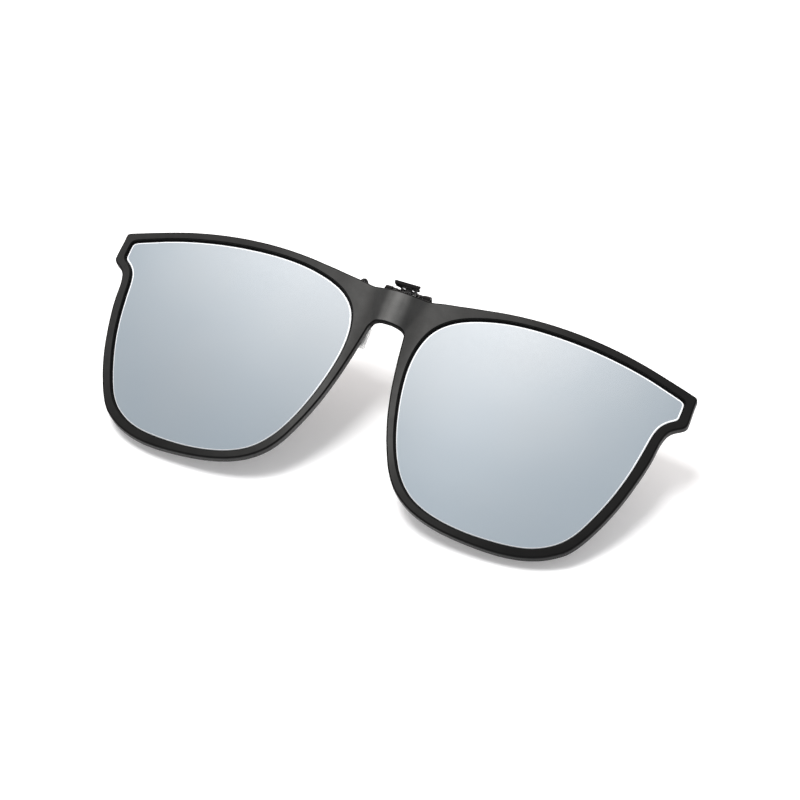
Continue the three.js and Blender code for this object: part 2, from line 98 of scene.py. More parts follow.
OPENING = [
    (37.42, 12.39), (42.69, 12.31), (47.97, 12), (53.21, 11.43), (58.5, 10.62),
    (62.92, 9.73), (66.48, 8.8), (69.99, 7.87), (71.34, 7.46), (72.03, 7.09), (72.44, 6.53),
    (72.56, 5.83), (72.56, 3.5), (72.51, 2.58), (72.26, 1.91), (71.67, 1.31), (70.73, 0.59),
    (70, -0.12), (69.37, -0.93), (68.94, -1.74), (68.56, -2.8), (68.23, -4.26),
    (67.67, -8.3), (66.97, -12.72), (66.33, -15.89), (65.65, -18.64), (64.73, -21.75),
    (63.51, -25.2), (61.97, -28.97), (60.58, -31.91), (59.57, -33.66), (58.35, -35.3),
    (57.15, -36.6), (55.66, -37.8), (54.21, -38.75), (52.5, -39.65), (50.62, -40.38),
    (48.27, -40.99), (44.63, -41.53), (40.16, -41.84), (36.13, -41.87), (32.1, -41.59),
    (28.87, -41.1), (25.68, -40.32), (23.02, -39.33), (20.7, -38.1), (18.64, -36.5),
    (16.95, -34.72), (15.26, -32.39), (13.85, -29.9), (12.51, -26.94), (11.12, -23.13),
    (10, -19.24), (9.09, -15.28), (8.47, -11.67), (8.13, -8.44), (8.08, -5.61),
    (8.31, -2.78), (8.81, -0.29), (9.61, 2.04), (10.65, 3.86), (11.99, 5.46), (13.9, 7.07),
    (16.01, 8.33), (18.64, 9.47), (22.15, 10.58), (25.71, 11.4), (29.32, 11.94),
    (32.96, 12.25),
]


def put(points):
    """Drawing millimetres to row-frame metres."""
    return (np.asarray(points, float).reshape(-1, 3) - ORIGIN) * 0.001


# ------------------------------------------------------------------ node helpers
def new_material(name):
    m = bpy.data.materials.new(name)
    m.use_nodes = True
    nt = m.node_tree
    nt.nodes.clear()
    out = nt.nodes.new("ShaderNodeOutputMaterial")
    return m, nt, out


def node(nt, kind, inputs=None, **settings):
    n = nt.nodes.new(kind)
    for k, v in settings.items():
        setattr(n, k, v)
    for k, v in (inputs or {}).items():
        if isinstance(v, bpy.types.NodeSocket):
            nt.links.new(v, n.inputs[k])
        else:
            n.inputs[k].default_value = v
    return n


def ramp(nt, fac, stops, interpolation="LINEAR"):
    n = nt.nodes.new("ShaderNodeValToRGB")
    n.color_ramp.interpolation = interpolation
    el = n.color_ramp.elements
    while len(el) > 1:
        el.remove(el[-1])
    el[0].position, el[0].color = stops[0][0], (*stops[0][1], 1)
    for p, c in stops[1:]:
        e = el.new(p)
        e.color = (*c, 1)
    nt.links.new(fac, n.inputs["Fac"])
    return n.outputs["Color"]


def spread(nt, fac, low, high, from_low=0.0, from_high=1.0):
    n = node(nt, "ShaderNodeMapRange", {"Value": fac, "From Min": from_low, "From Max": from_high,
                                        "To Min": low, "To Max": high})
    return n.outputs["Result"]


def millimetres(nt):
    """Object coordinates, counted in millimetres."""
    tc = node(nt, "ShaderNodeTexCoord")
    m = node(nt, "ShaderNodeMapping", {"Vector": tc.outputs["Object"], "Scale": (1000, 1000, 1000)})
    return m.outputs["Vector"]


def noise(nt, vector, scale, detail=3.0, rough=0.55, distortion=0.0):
    n = node(nt, "ShaderNodeTexNoise", {"Vector": vector, "Scale": scale, "Detail": detail,
                                        "Roughness": rough, "Distortion": distortion})
    return n.outputs["Fac"]


def bump(nt, height, strength, distance, normal=None):
    ins = {"Height": height, "Strength": strength, "Distance": distance}
    if normal is not None:
        ins["Normal"] = normal
    return node(nt, "ShaderNodeBump", ins).outputs["Normal"]


# --------------------------------------------------------------------- materials
def painted_sheen_and_shade_along_face(nt, mm):
    """Painted sheen and shade: how pale the plastic is painted from the left end to the right,
    with a painted highlight on the arched bridge's crown and painted shade making the bottom of the rims darkest."""
    sep = node(nt, "ShaderNodeSeparateXYZ", {0: mm})
    along = spread(nt, sep.outputs["X"], 0.0, 1.0, -75.0, 75.0)
    # painted sheen: paler near the bridge with a painted highlight on its crown, darker towards the ends
    stops = [(-75, 0.020), (-45, 0.019), (-17, 0.040), (-9, 0.056), (-5.4, 0.033), (-3.3, 0.029), (-1.5, 0.074),
             (0.3, 0.112), (2.1, 0.074), (3.9, 0.029), (5.6, 0.034), (9, 0.052), (19, 0.034), (50, 0.010), (73, 0.006)]
    tone = ramp(nt, along, [((x + 75) / 150, (v, v, 0.975 * v)) for x, v in stops], "EASE")
    # painted shade: darker towards the bottom of the rims
    low = node(nt, "ShaderNodeMapRange", {"Value": sep.outputs["Z"], "From Min": -49.0, "From Max": -30.0,
                                          "To Min": 0.45, "To Max": 1.0}, interpolation_type="SMOOTHSTEP")
    painted_sheen_and_shade = node(nt, "ShaderNodeVectorMath", {0: tone, "Scale": low.outputs["Result"]}, operation="SCALE")
    return painted_sheen_and_shade.outputs["Vector"]


def plastic_material(name, painted_shade_edge=False, painted_shade_gain=1.0):
    m, nt, out = new_material(name)
    mm = millimetres(nt)
    grain = noise(nt, mm, 5.5, 4, 0.62)
    cloud = noise(nt, mm, 0.35, 2, 0.5)
    scuff = noise(nt, node(nt, "ShaderNodeMapping", {"Vector": mm, "Rotation": (0.2, 0.5, 0.4),
                                                     "Scale": (0.5, 3.0, 6.0)}).outputs["Vector"], 1.6, 5, 0.7)
    # painted shade: the edge copy is near-black plastic standing for the shade on rounded edges, in the openings and
    # under the bridge
    if painted_shade_edge:
        colour = ramp(nt, cloud, [(0.3, (0.0035, 0.0035, 0.0034)), (0.7, (0.0055, 0.0055, 0.0054))])
    else:
        # painted shade: a gain below 1 makes a darker copy of this plastic for the outer walls
        patch = spread(nt, node(nt, "ShaderNodeMath", {0: cloud, 1: grain}, operation="ADD").outputs[0], 0.88 * painted_shade_gain, 1.12 * painted_shade_gain, 0.75, 1.25)
        colour = node(nt, "ShaderNodeVectorMath", {0: painted_sheen_and_shade_along_face(nt, mm), "Scale": patch}, operation="SCALE").outputs["Vector"]
    shade = node(nt, "ShaderNodeBsdfPrincipled", {"Base Color": colour, "IOR": 1.5,
                                                  "Specular IOR Level": 0.06 if painted_shade_edge else 0.14})
    nt.links.new(spread(nt, scuff, 0.40, 0.50, 0.25, 0.75), shade.inputs["Roughness"])
    n1 = bump(nt, grain, 0.22, 0.00002)
    n2 = bump(nt, cloud, 0.12, 0.00006, n1)
    nt.links.new(n2, shade.inputs["Normal"])
    nt.links.new(shade.outputs[0], out.inputs["Surface"])
    return m


def mirror_material():
    m, nt, out = new_material("lens_mirror")
    mm = millimetres(nt)
    flow = noise(nt, mm, 0.045, 2, 0.5, 0.3)
    fine = noise(nt, mm, 0.9, 3, 0.6)
    colour = ramp(nt, flow, [(0.3, (0.550, 0.632, 0.694)), (0.5, (0.560, 0.638, 0.696)), (0.7, (0.568, 0.642, 0.696))])
    # painted reflection: the mirror's brightness is painted into its colour by place, varying across each lens, weaker
    # high beside the nose and stronger low down there
    sep = node(nt, "ShaderNodeSeparateXYZ", {0: mm})
    along = spread(nt, sep.outputs["X"], 0.0, 1.0, -66.0, 66.0)
    places = (-66, -50, -36, -24, -12, 12, 24, 36, 50, 66)
    level = (1.03, 0.96, 0.94, 0.945, 0.90, 0.98, 1.05, 1.015, 0.985, 1.03)
    swing = (-0.04, -0.006, 0.019, 0.043, 0.049, 0.075, 0.105, 0.085, 0.032, 0.004)
    painted_reflection_across = ramp(nt, along, [((x + 66) / 132, (v / 2,) * 3) for x, v in zip(places, level)], "B_SPLINE")
    painted_reflection_up_down = ramp(nt, along, [((x + 66) / 132, ((v + 0.1) * 2,) * 3) for x, v in zip(places, swing)], "B_SPLINE")
    painted_reflection_up_down = node(nt, "ShaderNodeMath", {0: painted_reflection_up_down, 1: 0.5, 2: -0.1}, operation="MULTIPLY_ADD").outputs[0]
    down = spread(nt, sep.outputs["Z"], 1.0, -1.0, -36.0, -2.0)
    painted_reflection_up_down = node(nt, "ShaderNodeMath", {0: painted_reflection_up_down, 1: down}, operation="MULTIPLY").outputs[0]
    painted_reflection = node(nt, "ShaderNodeMath", {0: painted_reflection_across, 1: 2.0, 2: painted_reflection_up_down}, operation="MULTIPLY_ADD").outputs[0]
    colour = node(nt, "ShaderNodeVectorMath", {0: colour, "Scale": painted_reflection}, operation="SCALE").outputs["Vector"]
    shade = node(nt, "ShaderNodeBsdfPrincipled", {"Metallic": 1.0, "Base Color": colour,
                                                  "Coat Weight": 0.15, "Coat Roughness": 0.04, "Coat IOR": 1.5})
    nt.links.new(spread(nt, fine, 0.15, 0.19, 0.3, 0.7), shade.inputs["Roughness"])
    nt.links.new(bump(nt, noise(nt, mm, 0.06, 1, 0.4), 0.05, 0.0006), shade.inputs["Normal"])
    nt.links.new(shade.outputs[0], out.inputs["Surface"])
    return m


def lens_edge_material():
    m, nt, out = new_material("lens_edge")
    mm = millimetres(nt)
    fine = noise(nt, mm, 2.4, 3, 0.6)
    colour = ramp(nt, fine, [(0.3, (0.93, 0.95, 0.96)), (0.7, (0.98, 0.99, 1.0))])
    # painted light: the polished edge is painted brightest along the top of the lens and greyest at the bottom
    height = spread(nt, node(nt, "ShaderNodeSeparateXYZ", {0: mm}).outputs["Z"], 0.0, 1.0, -48.0, 2.0)
    tone = ramp(nt, height, [(0.0, (0.74, 0.75, 0.76)), (0.2, (0.84, 0.85, 0.86)), (0.52, (0.93, 0.94, 0.95)),
                             (0.78, (0.95, 0.95, 0.95)), (0.92, (1.0, 1.0, 1.0))], "EASE")
    colour = node(nt, "ShaderNodeVectorMath", {0: colour, 1: tone}, operation="MULTIPLY").outputs["Vector"]
    # painted glow: the edge gives off light, more towards the top, though it is no lamp
    glow = spread(nt, height, 0.0, 0.26, 0.35, 0.95)
    shade = node(nt, "ShaderNodeBsdfPrincipled", {"Base Color": colour, "IOR": 1.58, "Emission Strength": glow,
                                                  "Emission Color": (0.93, 0.96, 1.0, 1)})
    nt.links.new(spread(nt, fine, 0.12, 0.22), shade.inputs["Roughness"])
    nt.links.new(shade.outputs[0], out.inputs["Surface"])
    return m


def lens_seat_material():
    m, nt, out = new_material("lens_seat")
    mm = millimetres(nt)
    fine = noise(nt, mm, 3.0, 3, 0.6)
    # painted shade: the lens's rim inside the frame's groove is near black, standing for the shade in the gap round the
    # lens
    colour = ramp(nt, fine, [(0.3, (0.004, 0.004, 0.0042)), (0.7, (0.009, 0.009, 0.0094))])
    shade = node(nt, "ShaderNodeBsdfPrincipled", {"Base Color": colour, "IOR": 1.4, "Specular IOR Level": 0.2})
    nt.links.new(spread(nt, fine, 0.5, 0.65), shade.inputs["Roughness"])
    nt.links.new(shade.outputs[0], out.inputs["Surface"])
    return m


def lens_back_material():
    m, nt, out = new_material("lens_back")
    mm = millimetres(nt)
    flow = noise(nt, mm, 0.05, 2, 0.5)
    colour = ramp(nt, flow, [(0.3, (0.030, 0.036, 0.041)), (0.7, (0.040, 0.046, 0.052))])
    shade = node(nt, "ShaderNodeBsdfPrincipled", {"Base Color": colour, "IOR": 1.58,
                                                  "Coat Weight": 0.6, "Coat Roughness": 0.05})
    nt.links.new(spread(nt, noise(nt, mm, 0.7, 3, 0.6), 0.08, 0.14), shade.inputs["Roughness"])
    nt.links.new(shade.outputs[0], out.inputs["Surface"])
    return m


def metal_material():
    m, nt, out = new_material("clip_metal")
    mm = millimetres(nt)
    fine = noise(nt, mm, 3.2, 4, 0.65)
    lines = noise(nt, node(nt, "ShaderNodeMapping", {"Vector": mm, "Scale": (0.8, 14, 14)}).outputs["Vector"], 1.3, 4, 0.7)
    colour = ramp(nt, fine, [(0.3, (0.0022, 0.0022, 0.0024)), (0.7, (0.0042, 0.0042, 0.0045))])
    wear = node(nt, "ShaderNodeNewGeometry").outputs["Pointiness"]
    mixed = node(nt, "ShaderNodeMix", {"Factor": spread(nt, wear, 0.0, 0.7, 0.54, 0.7), "A": colour,
                                       "B": (0.014, 0.0135, 0.013, 1)}, data_type="RGBA")
    shade = node(nt, "ShaderNodeBsdfPrincipled", {"Metallic": 0.0, "IOR": 1.42, "Specular IOR Level": 0.16})
    nt.links.new([o for o in mixed.outputs if o.type == "RGBA"][0], shade.inputs["Base Color"])
    nt.links.new(spread(nt, lines, 0.3, 0.42, 0.3, 0.7), shade.inputs["Roughness"])
    nt.links.new(bump(nt, fine, 0.1, 0.00002), shade.inputs["Normal"])
    nt.links.new(shade.outputs[0], out.inputs["Surface"])
    return m


def steel_material():
    m, nt, out = new_material("spring_steel")
    mm = millimetres(nt)
    fine = noise(nt, mm, 6, 4, 0.65)
    colour = ramp(nt, fine, [(0.3, (0.045, 0.045, 0.047)), (0.7, (0.085, 0.085, 0.088))])
    shade = node(nt, "ShaderNodeBsdfPrincipled", {"Base Color": colour, "Metallic": 1.0})
    nt.links.new(spread(nt, fine, 0.24, 0.36), shade.inputs["Roughness"])
    nt.links.new(bump(nt, fine, 0.15, 0.00001), shade.inputs["Normal"])
    nt.links.new(shade.outputs[0], out.inputs["Surface"])
    return m


def silicone_material(name, see, tint, painted_glow=0.0):
    m, nt, out = new_material(name)
    mm = millimetres(nt)
    cloud = noise(nt, mm, 0.8, 3, 0.55)
    fine = noise(nt, mm, 7, 3, 0.6)
    low = tuple(0.88 * c for c in tint)
    colour = ramp(nt, cloud, [(0.3, low), (0.7, tint)])
    # painted glow: the emission strength from the last argument makes the silicone shine faintly, though it is no lamp
    shade = node(nt, "ShaderNodeBsdfPrincipled", {"Base Color": colour, "IOR": 1.41,
                                                  "Transmission Weight": see,
                                                  "Emission Color": (1.0, 1.0, 0.99, 1), "Emission Strength": painted_glow})
    nt.links.new(spread(nt, fine, 0.3, 0.42), shade.inputs["Roughness"])
    nt.links.new(bump(nt, fine, 0.12, 0.00001), shade.inputs["Normal"])
    nt.links.new(shade.outputs[0], out.inputs["Surface"])
    return m


def nylon_material():
    m, nt, out = new_material("nylon")
    mm = millimetres(nt)
    fine = noise(nt, mm, 5, 3, 0.6)
    colour = ramp(nt, fine, [(0.3, (0.006, 0.006, 0.006)), (0.7, (0.011, 0.011, 0.011))])
    shade = node(nt, "ShaderNodeBsdfPrincipled", {"Base Color": colour, "IOR": 1.53, "Specular IOR Level": 0.25})
    nt.links.new(spread(nt, fine, 0.45, 0.6), shade.inputs["Roughness"])
    nt.links.new(bump(nt, fine, 0.15, 0.00001), shade.inputs["Normal"])
    nt.links.new(shade.outputs[0], out.inputs["Surface"])
    return m


PLASTIC = plastic_material("frame_plastic")
# painted shade: darker copies of the same plastic for the edges and the walls
PLASTIC_SHADED_EDGE = plastic_material("frame_plastic_painted_shade_edge", True)
PLASTIC_SHADED_WALL = plastic_material("frame_plastic_painted_shade_wall", painted_shade_gain=0.85)
MIRROR = mirror_material()
LENS_EDGE_PAINTED_GLOW = lens_edge_material()
LENS_BACK = lens_back_material()
LENS_SEAT_PAINTED_SHADE = lens_seat_material()
METAL = metal_material()
STEEL = steel_material()
SLEEVE = silicone_material("silicone_sleeve", 0.7, (0.95, 0.95, 0.945), 0.05)
PAD = silicone_material("silicone_pad", 0.25, (0.62, 0.62, 0.61))
NYLON = nylon_material()


# ----------------------------------------------------------------- mesh helpers
def make_piece(name, verts, faces, materials, body, node_name, face_material=None, sharp=None):
    """A closed mesh in row-frame metres that rides on a body and stands for a CAD node."""
    mesh = bpy.data.meshes.new(name)
    mesh.from_pydata([tuple(map(float, v)) for v in verts], [], [tuple(map(int, f)) for f in faces])
    for mat in materials:
        mesh.materials.append(mat)
    if face_material is not None:
        mesh.polygons.foreach_set("material_index", np.asarray(face_material, np.int32))
    bm = bmesh.new()
    bm.from_mesh(mesh)
    bmesh.ops.recalc_face_normals(bm, faces=bm.faces)
    if sharp is not None:
        limit = math.radians(sharp)
        for e in bm.edges:
            if len(e.link_faces) == 2 and e.calc_face_angle(0.0) > limit:
                e.smooth = False
    for f in bm.faces:
        f.smooth = True
    bm.to_mesh(mesh)
    bm.free()
    mesh.update()
    obj = bpy.data.objects.new(name, mesh)
    bpy.context.scene.collection.objects.link(obj)
    if body:
        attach(obj, body)
    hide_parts(node_name)
    return obj


def catmull(points, closed=False, per=16):
    """Centripetal Catmull-Rom through the points."""
    P = np.asarray(points, float)
    n = len(P)
    out = []
    t = np.arange(per)[:, None] / per
    for i in range(n if closed else n - 1):
        p1, p2 = P[i], P[(i + 1) % n]
        p0 = P[(i - 1) % n] if closed or i > 0 else 2 * p1 - p2
        p3 = P[(i + 2) % n] if closed or i + 2 < n else 2 * p2 - p1
        d0, d1, d2 = (max(np.linalg.norm(a - b) ** 0.5, 1e-4) for a, b in ((p1, p0), (p2, p1), (p3, p2)))
        m1 = ((p1 - p0) / d0 - (p2 - p0) / (d0 + d1) + (p2 - p1) / d1) * d1
        m2 = ((p2 - p1) / d1 - (p3 - p1) / (d1 + d2) + (p3 - p2) / d2) * d1
        out.append(p1 + m1 * t + (-3 * p1 + 3 * p2 - 2 * m1 - m2) * t ** 2 + (2 * p1 - 2 * p2 + m1 + m2) * t ** 3)
    if not closed:
        out.append(P[-1:])
    return np.vstack(out)


def spaced(points, step=None, count=None, closed=False):
    """The same line with its points evenly spread."""
    P = np.vstack([points, points[:1]]) if closed else np.asarray(points, float)
    s = np.r_[0, np.cumsum(np.linalg.norm(np.diff(P, axis=0), axis=1))]
    count = count or max(3, int(round(s[-1] / step)) + (0 if closed else 1))
    t = np.linspace(0, s[-1], count + 1)[:-1] if closed else np.linspace(0, s[-1], count)
    return np.stack([np.interp(t, s, P[:, k]) for k in range(P.shape[1])], axis=1)


def loop_normals(loop):
    """Unit normals of a closed clockwise loop, pointing to its inside."""
    d = np.roll(loop, -1, 0) - np.roll(loop, 1, 0)
    n = np.stack([d[:, 1], -d[:, 0]], axis=1)
    n = n + 0.5 * (np.roll(n, 1, 0) + np.roll(n, -1, 0))
    return n / np.linalg.norm(n, axis=1)[:, None]


def inside(points, loop):
    """Which points lie inside a closed loop."""
    x, z = points[:, 0][:, None], points[:, 1][:, None]
    a, b = loop, np.roll(loop, -1, 0)
    crosses = (a[:, 1] > z) != (b[:, 1] > z)
    with np.errstate(divide="ignore", invalid="ignore"):
        at = a[:, 0] + (z - a[:, 1]) * (b[:, 0] - a[:, 0]) / (b[:, 1] - a[:, 1])
    return (crosses & (x < at)).sum(1) % 2 == 1


def clearance(points, loop):
    """Distance from each point to the nearest point of a loop."""
    out = np.empty(len(points))
    for i in range(0, len(points), 2000):
        d = points[i:i + 2000, None, :] - loop[None, :, :]
        out[i:i + 2000] = np.sqrt((d ** 2).sum(2)).min(1)
    return out


def hex_grid(x0, x1, z0, z1, step):
    rows = []
    h = step * math.sqrt(3) / 2
    for j, z in enumerate(np.arange(z0, z1, h)):
        xs = np.arange(x0 + (step / 2 if j % 2 else 0), x1, step)
        rows.append(np.stack([xs, np.full(len(xs), z)], axis=1))
    return np.vstack(rows)


def fill(loops, points):
    """Triangles between an outer loop and its holes, over the loops' own points
    followed by the inner points. Returns the triangles."""
    verts = np.vstack(loops + [points]) if len(points) else np.vstack(loops)
    edges, start = [], 0
    for lp in loops:
        n = len(lp)
        edges += [(start + i, start + (i + 1) % n) for i in range(n)]
        start += n
    res = delaunay_2d_cdt([Vector(v) for v in verts], edges, [], 0, 1e-7)
    new, tris, origin = res[0], res[2], res[3]
    back = [min(o) if o else -1 for o in origin]
    T = np.array([[back[i] for i in t] for t in tris if len(t) == 3])
    T = T[(T >= 0).all(1)]
    c = verts[T].mean(1)
    keep = inside(c, loops[0])
    for lp in loops[1:]:
        keep &= ~inside(c, lp)
    return T[keep]


def strip_faces(a, b, n):
    """Quads between two rings of n points that start at vertex a and b."""
    i = np.arange(n)
    j = (i + 1) % n
    return np.stack([a + i, a + j, b + j, b + i], axis=1).tolist()


def base(x, z):
    return (x * x + z * z) / (2 * R_FACE)


def bulge(x, z):
    width = BRIDGE_LOW + (BRIDGE_TOP - BRIDGE_LOW) * (z - 0.42) / (9.72 - 0.42)
    b = 1 - (x / np.maximum(width, 1.5)) ** 2
    near = np.clip((11.5 - z) / 1.0, 0, 1) * np.clip((z + 1.5) / 1.0, 0, 1)
    soft = 0.5 * (b + np.sqrt(b * b + 0.012)) - 0.5 * (np.sqrt(1 + 0.012) - 1)
    out = np.where(b > -1.2, soft, 0.0)
    # fade the soft skirt out so that the rims are left alone
    return out * near * np.clip((1.2 + b) / 0.8, 0, 1)


def y_front(x, z):
    return base(x, z) - BRIDGE_RISE * bulge(x, z)


def y_back(x, z):
    return base(x, z) + T_RIM - BRIDGE_BACK * bulge(x, z)


def half_loop():
    """The right half of the outline from the middle of the top edge to the
    middle of the underside."""
    top = catmull(TOP_EDGE)
    rim = catmull(OUTLINE)
    low = catmull(UNDERSIDE)[::-1]
    return np.vstack([top[:-1], rim[:-1], low])


def whole_loop(step):
    h = spaced(half_loop(), step=step)
    left = h[1:-1][::-1] * [-1, 1]
    return np.vstack([h, left])


def quarter(radius, steps):
    """(set back from the edge, depth) round a quarter circle, from face to wall."""
    return [(radius * (1 - math.sin(a)), radius * (1 - math.cos(a)))
            for a in (math.pi / 2 * k / steps for k in range(steps + 1))]


# --------------------------------------------------------------- front moulding
def boss_shell():
    """The rounded block behind the bridge that the bracket is screwed to."""
    bm = bmesh.new()
    bmesh.ops.create_cube(bm, size=1.0)
    for v in bm.verts:
        v.co.x *= 6.4
        v.co.y = v.co.y * 1.7 - 0.65
        v.co.z = v.co.z * 5.4 + 5.7
    bmesh.ops.bevel(bm, geom=[e for e in bm.edges], offset=0.3, segments=4, affect="EDGES", profile=0.5)
    bmesh.ops.triangulate(bm, faces=bm.faces)
    bm.verts.ensure_lookup_table()
    v = np.array([tuple(x.co) for x in bm.verts])
    f = [[x.index for x in fc.verts] for fc in bm.faces]
    bm.free()
    return v, f


def front_frame():
    outer = whole_loop(0.42)
    n_out = loop_normals(outer)
    opening = spaced(catmull(OPENING, True), step=0.5, closed=True)
    openings = [opening, (opening * [-1, 1])[::-1]]
    verts, faces, mats = [], [], []

    def ring(xz, y):
        start = len(verts)
        for (x, z), yy in zip(xz, y):
            verts.append((x, yy, z))
        return start

    n = len(outer)
    rings = []
    steps = quarter(EDGE, 5)
    for inset, deep in steps:
        p = outer + n_out * inset
        rings.append(ring(p, y_front(p[:, 0], p[:, 1]) + deep))
    yf, yb = y_front(*outer.T) + EDGE, y_back(*outer.T) - EDGE
    for t in (0.25, 0.5, 0.75):
        rings.append(ring(outer, yf + (yb - yf) * t))
    for inset, deep in reversed(steps):
        p = outer + n_out * inset
        rings.append(ring(p, y_back(p[:, 0], p[:, 1]) - deep))
    # painted shade: rounded edges and the wall under the bridge take the near-black copy, the other outer walls the
    # darker wall copy
    painted_dark_near_bridge = np.abs((outer + np.roll(outer, -1, 0))[:, 0]) < 8.6
    for k, (a, b) in enumerate(zip(rings, rings[1:])):
        faces += strip_faces(a, b, n)
        wall = len(steps) - 1 <= k < len(rings) - len(steps)
        mats += [1 if not wall or (painted_dark_near_bridge[i] and outer[i, 1] < 2) else 2 for i in range(n)]
    front_ids, back_ids = [np.arange(rings[0], rings[0] + n)], [np.arange(rings[-1], rings[-1] + n)]
    loops = [outer + n_out * EDGE]

    for lp in openings:
        m = len(lp)
        out = -loop_normals(lp)
        rr = []
        small = quarter(EDGE_IN, 4)
        for inset, deep in small:
            p = lp + out * inset
            rr.append(ring(p, base(*p.T) + deep))
        for dist, deep in ((0.0, 0.42), (0.0, GROOVE[0]), (GROOVE_DEEP, GROOVE[0]), (GROOVE_DEEP, GROOVE[1]), (0.0, GROOVE[1]), (0.0, 1.9)):
            p = lp + out * dist
            rr.append(ring(p, base(*p.T) + deep))
        for inset, deep in reversed(small):
            p = lp + out * inset
            rr.append(ring(p, base(*p.T) + T_RIM - deep))
        for a, b in zip(rr, rr[1:]):
            faces += strip_faces(a, b, m)
        # painted shade: the openings' walls and grooves take the near-black copy
        mats += [1] * (len(faces) - len(mats))
        front_ids.append(np.arange(rr[0], rr[0] + m))
        back_ids.append(np.arange(rr[-1], rr[-1] + m))
        loops.append(lp + out * EDGE_IN)

    pts = np.vstack([hex_grid(-75, 75, -45, 15, 0.62), ])
    bridge = hex_grid(-9, 9, -1.5, 11, 0.3)
    pts = pts[~((abs(pts[:, 0]) < 9) & (pts[:, 1] > -1.5) & (pts[:, 1] < 11))]
    pts = np.vstack([pts, bridge])
    keep = inside(pts, loops[0])
    for lp in loops[1:]:
        keep &= ~inside(pts, lp)
    pts = pts[keep]
    gap = np.minimum.reduce([clearance(pts, lp) for lp in loops])
    pts = pts[gap > 0.24]
    tris = fill(loops, pts)
    start_f = ring(pts, y_front(*pts.T))
    start_b = ring(pts, y_back(*pts.T))
    map_f = np.concatenate(front_ids + [np.arange(start_f, start_f + len(pts))])
    map_b = np.concatenate(back_ids + [np.arange(start_b, start_b + len(pts))])
    faces += map_f[tris].tolist()
    faces += map_b[tris][:, ::-1].tolist()

    bv, bf = boss_shell()
    start = len(verts)
    verts += [tuple(v) for v in bv]
    faces += [[start + i for i in f] for f in bf]
    mats += [0] * (len(faces) - len(mats))
    return make_piece("front_moulding", put(verts), faces, [PLASTIC, PLASTIC_SHADED_EDGE, PLASTIC_SHADED_WALL], "front", "front_frame",
                      face_material=mats, sharp=50)


# ------------------------------------------------------------------------ lenses
def lens(side, s):
    opening = spaced(catmull(OPENING, True), step=0.62, closed=True)
    lp = opening if s > 0 else (opening * [-1, 1])[::-1]
    m = len(lp)
    out = -loop_normals(lp)
    # (out from the opening's edge, depth behind the face, material of the band before it)
    profile = [(-0.76, 0.78, 0), (-0.67, 0.79, 1), (-0.59, 0.83, 1), (-0.49, 0.90, 1), (-0.44, 0.95, 1),
               (0.48, 0.955, 3), (0.5, 0.975, 3), (0.5, 1.375, 3), (0.48, 1.395, 3), (-0.30, 1.4, 3),
               (-0.36, 1.6, 1), (-0.50, 1.72, 1)]
    verts, faces, mats = [], [], []

    def ring(xz, y):
        start = len(verts)
        for (x, z), yy in zip(xz, y):
            verts.append((x, yy, z))
        return start

    # the front bevel is narrower along the bottom of the lens
    low = np.clip((-6.0 - lp[:, 1]) / 26.0, 0, 1)[:, None]
    reach = [d + low * extra for (d, _, _), extra in zip(profile, [0.12, 0.09, 0.06, 0.02] + [0.0] * 8)]
    rings = []
    for d, (_, deep, _) in zip(reach, profile):
        p = lp + out * d
        rings.append(ring(p, base(*p.T) + deep))
    for k, (a, b) in enumerate(zip(rings, rings[1:])):
        fs = strip_faces(a, b, m)
        faces += fs
        mats += [profile[k + 1][2]] * len(fs)
    for first, deep, d, mat in ((rings[0], profile[0][1], reach[0], 0), (rings[-1], profile[-1][1], reach[-1], 2)):
        edge = lp + out * d
        pts = hex_grid(-75, 75, -45, 15, 1.9)
        pts = pts[inside(pts, edge)]
        pts = pts[clearance(pts, edge) > 0.9]
        tris = fill([edge], pts)
        start = ring(pts, base(*pts.T) + deep)
        ids = np.concatenate([np.arange(first, first + m), np.arange(start, start + len(pts))])
        fs = ids[tris].tolist()
        faces += fs
        mats += [mat] * len(fs)
    return make_piece(f"mirror_lens_{side}", put(verts), faces, [MIRROR, LENS_EDGE_PAINTED_GLOW, LENS_BACK, LENS_SEAT_PAINTED_SHADE], "front",
                      f"lens_{side}", face_material=mats, sharp=5)


